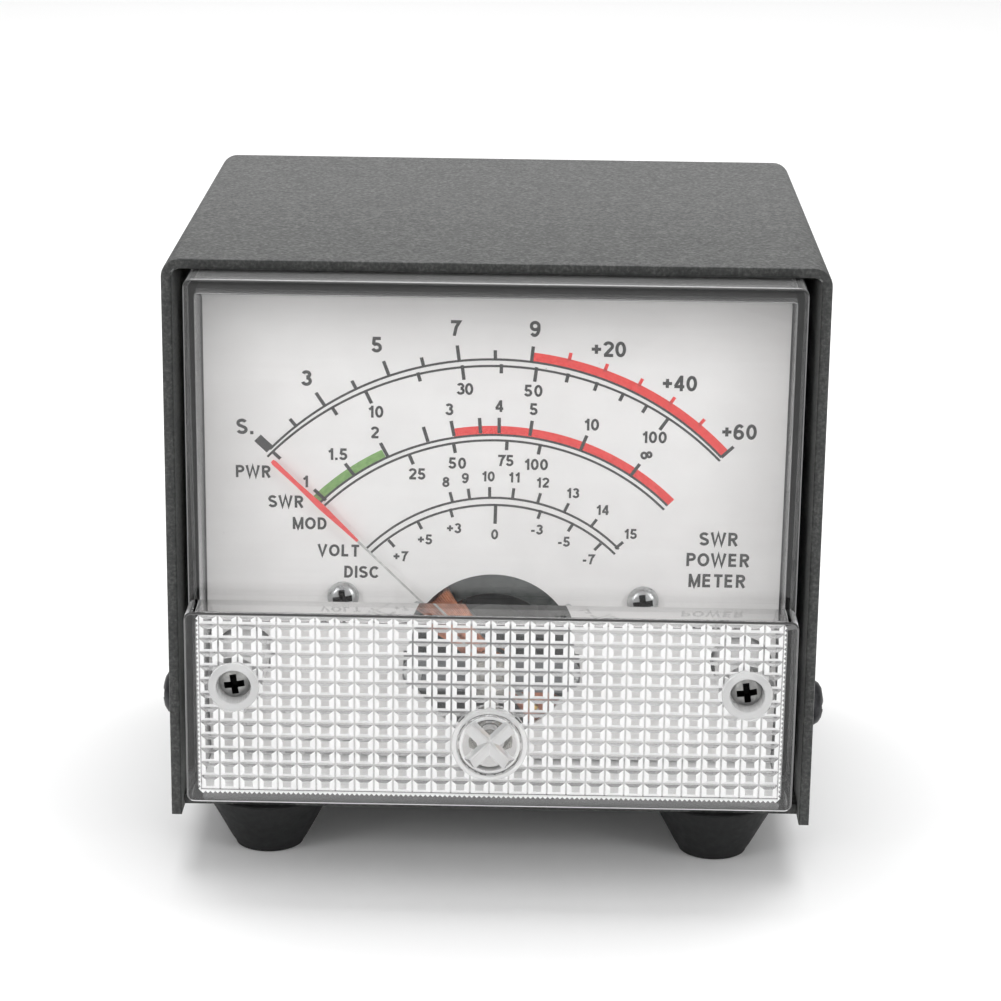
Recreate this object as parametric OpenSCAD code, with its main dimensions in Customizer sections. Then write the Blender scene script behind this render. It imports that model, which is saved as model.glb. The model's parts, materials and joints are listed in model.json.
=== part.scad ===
// Bench meter for an amateur radio transceiver: signal, power, SWR, modulation, volts and discriminator.
// A moving-coil panel meter stands in a two-piece folded steel case on four rubber feet.
// +X is the viewer's right, +Y runs from the dial to the back panel, and +Z is up.
// The origin is on the surface under the feet, below the middle of the whole object.
// Inside the modules, y is counted back from the cover's front edge and z up from its lower edge.

/* [Case] */
// Outside width of the folded cover
cover_w = 70; // [70:0.5:80]
// Depth of the folded cover from front to back
cover_d = 61; // [61:0.5:75]
// Height of the folded cover's sides
cover_h = 62.4; // [62.4:0.2:75]
// Thickness of the steel sheet of both case halves
sheet_t = 1.1; // [0.8:0.1:1.1]
// Outside radius of the cover's two bends
bend_r = 2; // [1.5:0.1:3]
// Height of the chassis floor's underside above the cover's lower edge
floor_z = 0.4; // [0:0.1:0.4]
// Distance from the cover's front edge back to the front of the chassis floor
floor_y = 2.4; // [1:0.1:4]
// How far the back panel is set in from the cover's back edge
panel_inset = 1.1; // [0.5:0.1:3]

/* [Feet] */
// Height of a foot below the cover's lower edge
foot_drop = 6.3; // [4:0.1:9]
// Diameter of a foot where it meets the chassis
foot_top_d = 14.5; // [10:0.5:15]
// Diameter of a foot on the ground
foot_low_d = 7.8; // [7:0.1:10]
// Sideways distance of a foot from the middle
foot_x = 25; // [22:0.5:25]
// Distance of the front feet from the cover's front edge
foot_y = 8.5; // [8:0.5:10]

/* [Meter] */
// Width of the clear meter cover
lens_w = 64.5; // [64:0.1:65]
// Height of the clear meter cover
lens_h = 55.95; // [55:0.05:56]
// Height of the meter's lower edge above the cover's lower edge
lens_z = 5.1; // [5.1:0.1:5.3]
// How far the window stands in front of the cover's front edge
window_proud = 4; // [3.8:0.1:5]
// How far the grid box stands in front of the cover's front edge
box_proud = 8.4; // [8.2:0.1:9]
// Height of the grid box's ledge above the cover's lower edge
ledge_z = 26.4; // [26:0.1:27]
// Wall thickness of the clear cover
lens_t = 1.1; // [0.9:0.1:1.2]
// Height of the pointer's axis above the cover's lower edge
pivot_z = 17.4; // [17.4:0.1:17.6]
// Length of the pointer from its axis to its tip
pointer_len = 32.9; // [28:0.1:34]
// Angle between the pointer at zero and straight up
rest_angle = 45.9; // [40:0.1:46]
// Height of the zero adjuster's axis above the cover's lower edge
adjust_z = 12.2; // [12:0.1:12.3]

/* [Rear fittings] */
// Bore of the metering jack, for a 3.5 mm plug
jack_bore_d = 3.6; // [3.54:0.01:3.6]
// Depth of the metering jack's bore
jack_bore_l = 14; // [12:0.5:14]
// Sideways place of the metering jack
jack_x = -16; // [-20:0.5:-16]
// Height of the metering jack above the cover's lower edge
jack_z = 18; // [16:0.5:18]
// Sideways place of the calibration trimmer
trimmer_x = 16; // [15:0.5:17]
// Height of the calibration trimmer above the cover's lower edge
trimmer_z = 19; // [18:0.5:20]

/* [Hidden] */
$fn = 64;
collar_h = 0.3;
bush_proud = 4.2;
panel_y = cover_d - panel_inset - sheet_t;
overall_d = box_proud + collar_h + panel_y + sheet_t + bush_proud;
front_y = -overall_d / 2 + box_proud + collar_h;
slack = 0.02;
cut = 1;

// Case
inner_w = cover_w - 2 * sheet_t;
chassis_w = inner_w - 0.2;
floor_top = floor_z + sheet_t;
panel_top = cover_h - sheet_t - 0.4;
case_screw_y = [12.5, cover_d - 12.5];
case_screw_z = 9.8;
foot_ys = [foot_y, cover_d - foot_y];
tab_w = 10;
tab_top = 15;
m3_r = 1.47;
m3_hole_r = 1.7;
m3_af = 5.5;
m3_nut_h = 2.4;
front_panel_y = 9;
front_panel_w = 64.8;
panel_foot_w = 36;
panel_foot_l = 7;
rivet_x = 12;
rivet_y = 14;
rivet_r = 1.5;

// Meter body
base_front = 6.5;
base_w = lens_w - 0.3;
base_h = lens_h - 0.3;
barrel_z = 24.6;
barrel_r = 19;
barrel_in_r = 17.3;
barrel_end = 33;
barrel_floor = 2;
stud_xz = [[-26, 10.5], [26, 10.5], [-26, 50], [26, 50]];
stud_end = 17;
terminal_x = 9;
terminal_end = 43;
lens_mid_z = lens_z + lens_h / 2;
lens_screw_x = 27.1;
lens_screw_z = 18.2;
lens_screw_seat = -6.3;
lens_screw_end = 8.6;
adjuster_r = 3.4;
adjuster_hole_r = 3.5;
crank_r = 1.5;
crank_pin_r = 0.45;
box_inside = -box_proud + 1.4;
window_inside = -window_proud + 1.4;

// Scale plate
plate_y = 2.6;
plate_t = 0.5;
plate_w = 61.8;
plate_low = 6.6;
plate_high = 58.6;
window_r = 9.15;
window_z = 18.6;
scale_screw_x = 16.2;
scale_screw_z = 25;
m2_r = 0.98;

// Movement
core_r = 5;
core_y = [4.8, 14.8];
yoke_in_r = 7.4;
yoke_r = 9.6;
yoke_y = [5, 15];
coil_y = [3.3, 16.3];
coil_half = 6.9;
coil_t = 2.8;
wind = 0.8;
former_t = 0.4;
pillar_x = 8.4;
pillar_r = 0.7;
post_x = 4.2;
bridge_half_w = 9.6;
bridge_half_h = 1.9;
bridge_t = 0.8;
front_bridge_y = -0.7;
rear_bridge_y = 19.2;
jewel_r = 1.3;
lever_y = -1.3;
lever_t = 0.4;
pointer_y = 1.55;
pointer_t = 0.12;
tail_len = 7;
spring_in_r = 0.8;
spring_out_r = 3;
spring_turns = 3.5;
spring_h = 0.3;
front_spring_y = 0.85;
rear_spring_y = 17.85;
stop_radius = 10.6;
stop_angle = rest_angle + 4.5;
frame_screw_xz = [[-19.5, 11], [19.5, 11], [-19.5, 28.5], [19.5, 28.5]];
frame_t = 1.5;

// Calibration board
board_y = 49.2;
board_t = 1.6;
board_x = [4, 28];
board_z = [8, 30];
spacer_xz = [[7, 27.5], [25, 10.5]];
rotor_r = 2.3;
rotor_y = 52.65;
jack_body_w = 9;
jack_body_y = 46.8;
lead_r = 0.6;
lead_sides = 8;
lead_rings = 20;
signal_route = [[-18.6, 43.4, 20.6], [-18.6, 39, 20.6], [6.5, 41, 12], [6.5, 49.2, 12]];
ground_route = [[-13.4, 43.4, 15.4], [-13.4, 38, 15.4], [11, 41, 10.5], [11, 49.2, 10.5]];
positive_route = [[22, 49.2, 24], [22, 43, 24], [9, 43, 32], [9, 35.9, 32]];
negative_route = [[12, 49.2, 27.5], [12, 42, 27.5], [-9, 44, 32], [-9, 35.9, 32]];

// ---- helpers ----

module in_case() {
    translate([0, front_y, foot_drop]) children();
}

module rod_y(r, y0, y1) {
    translate([0, y0, 0]) rotate([-90, 0, 0]) cylinder(r = r, h = y1 - y0);
}

module at_xz(x, z) {
    translate([x, 0, z]) children();
}

module slab(x0, x1, y0, y1, z0, z1) {
    translate([x0, y0, z0]) cube([x1 - x0, y1 - y0, z1 - z0]);
}

// Flat rounded rectangle in the XZ plane, centred on x = 0
module rounded_slab(w, z0, z1, y0, y1, r) {
    translate([0, y1, 0]) rotate([90, 0, 0]) linear_extrude(y1 - y0) union() {
        translate([-w / 2 + r, z0]) square([w - 2 * r, z1 - z0]);
        translate([-w / 2, z0 + r]) square([w, z1 - z0 - 2 * r]);
        for (sx = [-1, 1], z = [z0 + r, z1 - r]) translate([sx * (w / 2 - r), z]) circle(r);
    }
}

// Pan-head screw: its head is above z = 0 and its shank below
module pan_screw(r, length, head_r, head_h) {
    slot = head_r * 0.32;
    reach = head_r * 0.62;
    difference() {
        rotate_extrude() polygon([
            [0, head_h], [head_r * 0.62, head_h], [head_r * 0.9, head_h * 0.72],
            [head_r, head_h * 0.35], [head_r, 0], [r, 0], [r, -length + r * 0.4],
            [r * 0.6, -length], [0, -length]
        ]);
        for (a = [0, 90]) rotate([0, 0, a]) translate([-reach, -slot / 2, head_h * 0.45])
            cube([2 * reach, slot, head_h]);
    }
}

module hex_nut(flats, h, hole_r) {
    difference() {
        cylinder(r = flats / 2 / cos(30), h = h, $fn = 6);
        translate([0, 0, -cut]) cylinder(r = hole_r, h = h + 2 * cut);
    }
}

// Everything that swings with the pointer, drawn with the pointer straight up
module swinging() {
    translate([0, 0, pivot_z]) rotate([0, -rest_angle, 0]) children();
}

function bezier(p, t) =
    pow(1 - t, 3) * p[0] + 3 * pow(1 - t, 2) * t * p[1] + 3 * (1 - t) * t * t * p[2] + pow(t, 3) * p[3];

function bezier_way(p, t) =
    3 * pow(1 - t, 2) * (p[1] - p[0]) + 6 * (1 - t) * t * (p[2] - p[1]) + 3 * t * t * (p[3] - p[2]);

function unit(v) = v / norm(v);

// Insulated hook-up wire along a Bezier curve
module lead(route) {
    side = [for (i = [0:lead_rings]) unit(cross(bezier_way(route, i / lead_rings), [0, 0, 1]))];
    lift = [for (i = [0:lead_rings]) unit(cross(side[i], bezier_way(route, i / lead_rings)))];
    points = [for (i = [0:lead_rings], k = [0:lead_sides - 1])
        let (a = 360 * k / lead_sides)
        bezier(route, i / lead_rings) + lead_r * (cos(a) * side[i] + sin(a) * lift[i])];
    walls = [for (i = [0:lead_rings - 1], k = [0:lead_sides - 1])
        let (n = (k + 1) % lead_sides, a = i * lead_sides, b = a + lead_sides)
        [a + k, b + k, b + n, a + n]];
    ends = [
        [for (k = [0:lead_sides - 1]) k],
        [for (k = [lead_sides - 1:-1:0]) lead_rings * lead_sides + k]
    ];
    polyhedron(points = points, faces = concat(walls, ends), convexity = 4);
}

// Flat spiral strip from its inner to its outer radius
module hairspring(y0) {
    strip = 0.1;
    steps = 18 * spring_turns;
    function reach(i) = spring_in_r + (spring_out_r - spring_in_r) * i / steps;
    function turn(i) = 90 - 360 * spring_turns * (1 - i / steps);
    inner = [for (i = [0:steps]) (reach(i) - strip / 2) * [cos(turn(i)), sin(turn(i))]];
    outer = [for (i = [steps:-1:0]) (reach(i) + strip / 2) * [cos(turn(i)), sin(turn(i))]];
    translate([0, y0 + spring_h, 0]) rotate([90, 0, 0])
        linear_extrude(spring_h) polygon(concat(inner, outer));
}

// ---- case ----

module cover_section(w, h, r) {
    translate([-w / 2, -cut]) square([w, h - r + cut]);
    translate([-w / 2 + r, -cut]) square([w - 2 * r, h + cut]);
    for (sx = [-1, 1]) translate([sx * (w / 2 - r), h - r]) circle(r);
}

module top_cover() {
    color("dimgray") in_case() difference() {
        intersection() {
            translate([0, cover_d, 0]) rotate([90, 0, 0]) linear_extrude(cover_d) difference() {
                cover_section(cover_w, cover_h, bend_r);
                cover_section(inner_w, cover_h - sheet_t, bend_r - sheet_t);
            }
            slab(-cover_w, cover_w, -cut, cover_d + cut, 0, cover_h + cut);
        }
        for (y = case_screw_y) translate([-cover_w, y, case_screw_z]) rotate([0, 90, 0])
            cylinder(r = m3_hole_r, h = 2 * cover_w);
    }
}

module side_tab(y) {
    difference() {
        slab(chassis_w / 2 - sheet_t, chassis_w / 2, y - tab_w / 2, y + tab_w / 2, floor_z, tab_top);
        translate([0, y, case_screw_z]) rotate([0, 90, 0]) cylinder(r = m3_r + slack, h = cover_w);
    }
}

module chassis() {
    color("gray") in_case() {
        difference() {
            union() {
                slab(-chassis_w / 2, chassis_w / 2, floor_y, panel_y + sheet_t, floor_z, floor_top);
                rounded_slab(chassis_w, floor_z, panel_top, panel_y, panel_y + sheet_t, 1.3);
                for (y = case_screw_y) {
                    side_tab(y);
                    mirror([1, 0, 0]) side_tab(y);
                }
            }
            for (sx = [-1, 1], y = foot_ys) translate([sx * foot_x, y, -cut])
                cylinder(r = m3_hole_r, h = floor_top + 2 * cut);
            for (sx = [-1, 1]) translate([sx * rivet_x, rivet_y, -cut])
                cylinder(r = rivet_r + slack, h = floor_top + 2 * cut);
            at_xz(jack_x, jack_z) rod_y(3.1, panel_y - cut, panel_y + sheet_t + cut);
            at_xz(trimmer_x, trimmer_z) rod_y(2.5, panel_y - cut, panel_y + sheet_t + cut);
            for (p = spacer_xz) at_xz(p[0], p[1])
                rod_y(m3_hole_r, panel_y - cut, panel_y + sheet_t + cut);
        }
    }
}

module front_panel() {
    corner = (front_panel_w - panel_foot_w) / 2;
    color("dimgray") in_case() difference() {
        union() {
            slab(-front_panel_w / 2, front_panel_w / 2, front_panel_y, front_panel_y + sheet_t,
                floor_top, panel_top);
            slab(-panel_foot_w / 2, panel_foot_w / 2,
                front_panel_y, front_panel_y + sheet_t + panel_foot_l, floor_top, floor_top + sheet_t);
        }
        for (sx = [-1, 1]) translate([sx * (front_panel_w - corner) / 2, front_panel_y, 0])
            cube([corner, 4 * sheet_t, 2 * 4.9], center = true);
        at_xz(0, barrel_z) rod_y(barrel_r + 0.3, front_panel_y - cut, front_panel_y + sheet_t + cut);
        for (p = stud_xz) at_xz(p[0], p[1])
            rod_y(m3_hole_r, front_panel_y - cut, front_panel_y + sheet_t + cut);
        for (sx = [-1, 1]) translate([sx * rivet_x, rivet_y, 0])
            cylinder(r = rivet_r + slack, h = floor_top + 2 * sheet_t);
    }
}

module panel_rivets() {
    grip = 2 * sheet_t;
    color("silver") in_case() for (sx = [-1, 1]) translate([sx * rivet_x, rivet_y, floor_z])
        rotate_extrude() polygon([
            [0, -0.5], [1.9, -0.5], [2.4, 0], [rivet_r, 0], [rivet_r, grip],
            [2.4, grip], [1.9, grip + 0.7], [0, grip + 0.7]
        ]);
}

module cover_screws() {
    color("black") in_case() for (sx = [-1, 1], y = case_screw_y)
        translate([sx * cover_w / 2, y, case_screw_z]) rotate([0, sx * 90, 0])
            pan_screw(m3_r, 5.2, 2.75, 2.2);
}

module foot(sx, y) {
    color([0.1, 0.1, 0.1]) in_case() translate([sx * foot_x, y, -foot_drop]) difference() {
        cylinder(d1 = foot_low_d, d2 = foot_top_d, h = foot_drop + floor_z);
        translate([0, 0, -cut]) cylinder(r = 2.9, h = 3.4 + cut);
        cylinder(r = m3_hole_r, h = foot_drop + 2 * floor_z + cut);
    }
}

module foot_front_left() { foot(-1, foot_ys[0]); }
module foot_front_right() { foot(1, foot_ys[0]); }
module foot_rear_left() { foot(-1, foot_ys[1]); }
module foot_rear_right() { foot(1, foot_ys[1]); }

module foot_screws() {
    color("silver") in_case() for (sx = [-1, 1], y = foot_ys)
        translate([sx * foot_x, y, 3.4 - foot_drop]) rotate([180, 0, 0]) pan_screw(m3_r, 7.4, 2.7, 1.9);
}

module foot_nuts() {
    color("silver") in_case() for (sx = [-1, 1], y = foot_ys)
        translate([sx * foot_x, y, floor_top]) hex_nut(m3_af, m3_nut_h, m3_r + slack);
}

// ---- meter body ----

module lens_boss(r, y0, y1) {
    for (sx = [-1, 1]) at_xz(sx * lens_screw_x, lens_screw_z) rod_y(r, y0, y1);
}

module meter_cover() {
    inside_w = lens_w - 2 * lens_t;
    inside_low = lens_z + lens_t;
    color("lightblue") in_case() difference() {
        union() {
            difference() {
                union() {
                    rounded_slab(lens_w, lens_z, lens_z + lens_h, -window_proud, base_front, 1);
                    rounded_slab(lens_w, lens_z, ledge_z, -box_proud, base_front, 1);
                    at_xz(0, adjust_z) rod_y(4.05, -box_proud - collar_h, 0);
                    lens_boss(2.7, -box_proud - 0.2, 0);
                }
                slab(-inside_w / 2, inside_w / 2, window_inside, base_front + cut,
                    inside_low, lens_z + lens_h - lens_t);
                slab(-inside_w / 2, inside_w / 2, box_inside, base_front + cut,
                    inside_low, ledge_z - lens_t);
            }
            lens_boss(3, box_inside - slack, base_front);
        }
        at_xz(0, adjust_z) rod_y(adjuster_hole_r, -box_proud - cut, box_inside + cut);
        lens_boss(1.83, -box_proud - cut, lens_screw_seat);
        lens_boss(1.1, -box_proud, base_front + cut);
    }
}

module meter_cover_screws() {
    color("dimgray") in_case() for (sx = [-1, 1])
        translate([sx * lens_screw_x, lens_screw_seat, lens_screw_z]) rotate([90, 0, 0])
            pan_screw(m2_r, lens_screw_end - lens_screw_seat, 1.75, 1.3);
}

module meter_base() {
    color([0.12, 0.12, 0.12]) in_case() difference() {
        union() {
            rounded_slab(base_w, lens_mid_z - base_h / 2, lens_mid_z + base_h / 2,
                base_front, front_panel_y, 1);
            at_xz(0, barrel_z) rod_y(barrel_r, base_front, barrel_end);
        }
        at_xz(0, barrel_z) rod_y(barrel_in_r, base_front - cut, barrel_end - barrel_floor);
        for (sx = [-1, 1]) at_xz(sx * terminal_x, barrel_z) rod_y(m3_r + slack, 0, barrel_end + cut);
        for (p = stud_xz) at_xz(p[0], p[1]) rod_y(m3_r + slack, base_front + 0.5, front_panel_y + cut);
        for (sx = [-1, 1])
            at_xz(sx * lens_screw_x, lens_screw_z) rod_y(m2_r + slack, 0, lens_screw_end + 0.15);
        for (p = frame_screw_xz) at_xz(p[0], p[1]) rod_y(m2_r + slack, 0, 8.6);
    }
}

module mounting_studs() {
    color("silver") in_case() for (p = stud_xz) at_xz(p[0], p[1])
        rod_y(m3_r, base_front + 0.5, stud_end);
}

module mounting_nuts() {
    color("silver") in_case() for (p = stud_xz)
        translate([p[0], front_panel_y + sheet_t, p[1]]) rotate([-90, 0, 0])
            hex_nut(m3_af, m3_nut_h, m3_r + slack);
}

module zero_adjuster() {
    crank_y = -1.75;
    color("lightcyan") in_case() at_xz(0, adjust_z) difference() {
        union() {
            rod_y(adjuster_r, -box_proud - 0.2, box_inside + 0.15);
            rod_y(adjuster_r + 0.6, box_inside + 0.1, box_inside + 0.8);
            rod_y(1.2, box_inside, crank_y - 0.8);
            rod_y(crank_r + 0.6, crank_y - 0.8, crank_y);
            at_xz(0, -crank_r) rod_y(crank_pin_r, crank_y - 0.1, -0.75);
        }
        for (a = [45, 135]) rotate([0, a, 0])
            slab(-2.7, 2.7, -box_proud - cut, -box_proud + 1, -0.5, 0.5);
    }
}

module zero_lever() {
    fork_low = adjust_z - crank_r - pivot_z - 1.1;
    color("silver") in_case() at_xz(0, pivot_z) difference() {
        union() {
            rod_y(2.4, lever_y, lever_y + lever_t);
            slab(-0.8, 0.8, lever_y, lever_y + lever_t, fork_low + 1.5, -2);
            slab(-1.6, 1.6, lever_y, lever_y + lever_t, fork_low, fork_low + 2.4);
            slab(-0.5, 0.5, lever_y, lever_y + lever_t, 2, spring_out_r + 0.55);
            slab(-0.5, 0.5, lever_y, front_spring_y + spring_h,
                spring_out_r + 0.15, spring_out_r + 0.55);
        }
        rod_y(jewel_r + 0.05, lever_y - cut, lever_y + lever_t + cut);
        slab(-crank_pin_r - 0.12, crank_pin_r + 0.12, lever_y - cut, lever_y + lever_t + cut,
            fork_low - cut, fork_low + 2);
    }
}

module scale_plate() {
    color("gainsboro") in_case() difference() {
        rounded_slab(plate_w, plate_low, plate_high, plate_y, plate_y + plate_t, 0.6);
        at_xz(0, window_z) rod_y(window_r, 0, base_front);
        slab(-bridge_half_w, bridge_half_w, 0, base_front, pivot_z - 1.6, pivot_z + 1.6);
        lens_boss(3.4, 0, base_front);
        for (sx = [-1, 1]) at_xz(sx * scale_screw_x, scale_screw_z) rod_y(1.1, 0, base_front);
        for (sx = [-1, 1])
            at_xz(sx * stop_radius * sin(stop_angle), pivot_z + stop_radius * cos(stop_angle))
                rod_y(0.3 + slack, 0, base_front);
    }
}

module scale_screws() {
    color("silver") in_case() for (sx = [-1, 1]) translate([sx * scale_screw_x, plate_y, scale_screw_z])
        rotate([90, 0, 0]) pan_screw(m2_r, 3, 1.7, 1.2);
}

module pointer_stops() {
    color("silver") in_case() for (sx = [-1, 1])
        at_xz(sx * stop_radius * sin(stop_angle), pivot_z + stop_radius * cos(stop_angle)) {
            rod_y(0.3, 1, plate_y + plate_t);
            rod_y(0.4, 1, plate_y);
        }
}

// ---- movement ----

module movement_frame() {
    front = base_front - frame_t;
    color("darkgray") in_case() difference() {
        union() {
            rounded_slab(44, 8.4, 31.2, front, base_front, 2);
            for (sx = [-1, 1])
                at_xz(sx * scale_screw_x, scale_screw_z) rod_y(2, plate_y + plate_t, front + 0.5);
        }
        at_xz(0, pivot_z) rod_y(yoke_r + slack, 0, base_front + cut);
        for (sx = [-1, 1])
            at_xz(sx * scale_screw_x, scale_screw_z) rod_y(m2_r + slack, 0, base_front + cut);
        for (p = frame_screw_xz) at_xz(p[0], p[1]) rod_y(m2_r + slack, 0, base_front + cut);
    }
}

module movement_screws() {
    color("silver") in_case() for (p = frame_screw_xz)
        translate([p[0], base_front - frame_t, p[1]]) rotate([90, 0, 0]) pan_screw(m2_r, 3.5, 1.8, 1.3);
}

module yoke_ring() {
    color([0.3, 0.3, 0.32]) in_case() at_xz(0, pivot_z) difference() {
        rod_y(yoke_r, yoke_y[0], yoke_y[1]);
        rod_y(yoke_in_r, yoke_y[0] - cut, yoke_y[1] + cut);
    }
}

module core_magnet() {
    color([0.35, 0.35, 0.38]) in_case() at_xz(0, pivot_z) rod_y(core_r, core_y[0], core_y[1]);
}

module core_posts() {
    color("silver") in_case() for (sx = [-1, 1]) at_xz(sx * post_x, pivot_z) {
        rod_y(pillar_r, front_bridge_y + bridge_t, core_y[0]);
        rod_y(pillar_r, core_y[1], rear_bridge_y);
    }
}

module bridge(y0) {
    difference() {
        at_xz(0, pivot_z)
            rounded_slab(2 * bridge_half_w, -bridge_half_h, bridge_half_h, y0, y0 + bridge_t, 1.8);
        at_xz(0, pivot_z) rod_y(jewel_r + slack, y0 - cut, y0 + bridge_t + cut);
        for (sx = [-1, 1]) at_xz(sx * pillar_x, pivot_z) rod_y(0.42, y0 - cut, y0 + bridge_t + cut);
    }
}

module front_bridge() {
    color("darkgray") in_case() bridge(front_bridge_y);
}

module rear_bridge() {
    color("darkgray") in_case() {
        bridge(rear_bridge_y);
        at_xz(0, pivot_z) {
            slab(-0.5, 0.5, rear_bridge_y, rear_bridge_y + bridge_t, 1.5, spring_out_r + 0.55);
            slab(-0.5, 0.5, rear_spring_y, rear_bridge_y + bridge_t,
                spring_out_r + 0.15, spring_out_r + 0.55);
        }
    }
}

module bridge_pillars() {
    color("silver") in_case() for (sx = [-1, 1]) at_xz(sx * pillar_x, pivot_z) difference() {
        union() {
            rod_y(pillar_r, front_bridge_y + bridge_t, yoke_y[0]);
            rod_y(pillar_r, yoke_y[1], rear_bridge_y);
        }
        rod_y(0.42, front_bridge_y, 2.5);
        rod_y(0.42, 17, rear_bridge_y + cut);
    }
}

module bridge_screws() {
    color("silver") in_case() for (sx = [-1, 1]) {
        translate([sx * pillar_x, front_bridge_y, pivot_z]) rotate([90, 0, 0]) pan_screw(0.4, 3, 1, 0.6);
        translate([sx * pillar_x, rear_bridge_y + bridge_t, pivot_z]) rotate([-90, 0, 0])
            pan_screw(0.4, 2.8, 1, 0.6);
    }
}

// Threaded screw with a conical cup for the pivot, drawn with the cup at y = 0 and facing +Y
module jewel_screw(length) {
    color("silver") difference() {
        rod_y(jewel_r, -length, 0);
        translate([0, -0.5, 0]) rotate([-90, 0, 0]) cylinder(r1 = 0.12, r2 = 0.62, h = 0.5);
        translate([0, -0.01, 0]) rod_y(0.62, 0, cut);
        slab(-2, 2, -length - cut, -length + 0.5, -0.2, 0.2);
    }
}

module front_jewel_screw() {
    in_case() translate([0, 0.55, pivot_z]) jewel_screw(3.1);
}

module rear_jewel_screw() {
    in_case() translate([0, 18.85, pivot_z]) mirror([0, 1, 0]) jewel_screw(2.9);
}

module jewel_nuts() {
    color("silver") in_case() {
        translate([0, lever_y - 0.1, pivot_z]) rotate([90, 0, 0])
            hex_nut(4.2, 0.7, jewel_r + slack);
        translate([0, rear_bridge_y + bridge_t, pivot_z]) rotate([-90, 0, 0])
            hex_nut(4.2, 0.7, jewel_r + slack);
    }
}

module front_hairspring() {
    color("peru") in_case() at_xz(0, pivot_z) hairspring(front_spring_y);
}

module rear_hairspring() {
    color("peru") in_case() at_xz(0, pivot_z) hairspring(rear_spring_y);
}

module moving_coil() {
    in_half = coil_half - wind;
    color([0.72, 0.4, 0.22]) in_case() swinging() difference() {
        slab(-coil_t / 2, coil_t / 2, coil_y[0], coil_y[1], -coil_half, coil_half);
        slab(-coil_t, coil_t, coil_y[0] + wind, coil_y[1] - wind, -in_half, in_half);
    }
}

module coil_former() {
    out_half = coil_half - wind;
    in_half = out_half - former_t;
    color("lightgray") in_case() swinging() difference() {
        slab(-coil_t / 2, coil_t / 2, coil_y[0] + wind, coil_y[1] - wind, -out_half, out_half);
        slab(-coil_t, coil_t, coil_y[0] + wind + former_t, coil_y[1] - wind - former_t,
            -in_half, in_half);
    }
}

// Half axle cemented on the coil: its foot is at y = 0 and it points to -Y
module pivot_pin() {
    color("silver") rotate([90, 0, 0]) rotate_extrude() polygon([
        [0, 0], [1.3, 0], [1.3, 0.4], [0.9, 0.4], [0.9, 1.5], [0.45, 1.5], [0.45, 2.5],
        [0.25, 2.6], [0.05, 3.1], [0, 3.1]
    ]);
}

module front_pivot() {
    in_case() swinging() translate([0, coil_y[0], 0]) pivot_pin();
}

module rear_pivot() {
    in_case() swinging() translate([0, coil_y[1], 0]) mirror([0, 1, 0]) scale(0.9) pivot_pin();
}

module pointer() {
    widest = 24.5;
    color("crimson") in_case() swinging() difference() {
        union() {
            rod_y(1.1, pointer_y, pointer_y + pointer_t);
            translate([0, pointer_y + pointer_t, 0]) rotate([90, 0, 0])
                linear_extrude(pointer_t) polygon([
                    [-0.12, 0], [-0.12, 18], [-0.27, widest], [-0.05, pointer_len],
                    [0.05, pointer_len], [0.27, widest], [0.12, 18], [0.12, 0]
                ]);
            slab(-0.25, 0.25, pointer_y, pointer_y + pointer_t, -tail_len, 0);
        }
        rod_y(0.45 + slack, 0, pointer_y + 1);
    }
}

module counterweight() {
    weight_l = 1.4;
    weight_r = 0.5;
    color("goldenrod") in_case() swinging() translate([0, pointer_y + pointer_t / 2, 0.3 - tail_len])
        difference() {
            cylinder(r = weight_r, h = weight_l);
            slab(-0.25 - slack, 0.25 + slack, -pointer_t / 2 - slack, pointer_t / 2 + slack,
                -cut, weight_l + cut);
        }
}

// ---- meter terminals ----

module terminal_studs() {
    color("goldenrod") in_case() for (sx = [-1, 1]) at_xz(sx * terminal_x, barrel_z) {
        rod_y(3, barrel_end - barrel_floor - 1.6, barrel_end - barrel_floor);
        rod_y(m3_r, barrel_end - barrel_floor - 1, terminal_end);
    }
}

module terminal_nuts() {
    color("goldenrod") in_case() for (sx = [-1, 1], y = [barrel_end, barrel_end + m3_nut_h + 0.5])
        translate([sx * terminal_x, y, barrel_z]) rotate([-90, 0, 0])
            hex_nut(m3_af, m3_nut_h, m3_r + slack);
}

module solder_lugs() {
    lug_y = barrel_end + m3_nut_h;
    color("silver") in_case() for (sx = [-1, 1]) at_xz(sx * terminal_x, barrel_z) difference() {
        union() {
            rod_y(3, lug_y, lug_y + 0.5);
            slab(-1.4, 1.4, lug_y, lug_y + 0.5, 0, 8.6);
        }
        rod_y(m3_r + slack, lug_y - cut, lug_y + 1 + cut);
    }
}

// ---- rear fittings ----

module jack_bush() {
    outer_end = panel_y + sheet_t + bush_proud;
    inner_end = outer_end - jack_bore_l;
    color("silver") in_case() at_xz(jack_x, jack_z) difference() {
        union() {
            rod_y(3, panel_y, outer_end);
            rod_y(2.5, inner_end, panel_y + 0.5);
        }
        rod_y(jack_bore_d / 2, inner_end - cut, outer_end + cut);
    }
}

module jack_body() {
    half = jack_body_w / 2;
    inner_end = panel_y + sheet_t + bush_proud - jack_bore_l;
    color([0.15, 0.15, 0.15]) in_case() at_xz(jack_x, jack_z) difference() {
        slab(-half, half, jack_body_y, panel_y, -half, half);
        rod_y(2.5 + slack, inner_end, panel_y + cut);
    }
}

module jack_nut() {
    color("silver") in_case() translate([jack_x, panel_y + sheet_t, jack_z]) rotate([-90, 0, 0])
        difference() {
            cylinder(r = 4, h = 2);
            translate([0, 0, -cut]) cylinder(r = 3 + slack, h = 2 + 2 * cut);
            for (a = [0, 90]) rotate([0, 0, a]) translate([-5, -0.5, 1.2]) cube([10, 1, 2]);
        }
}

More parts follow.
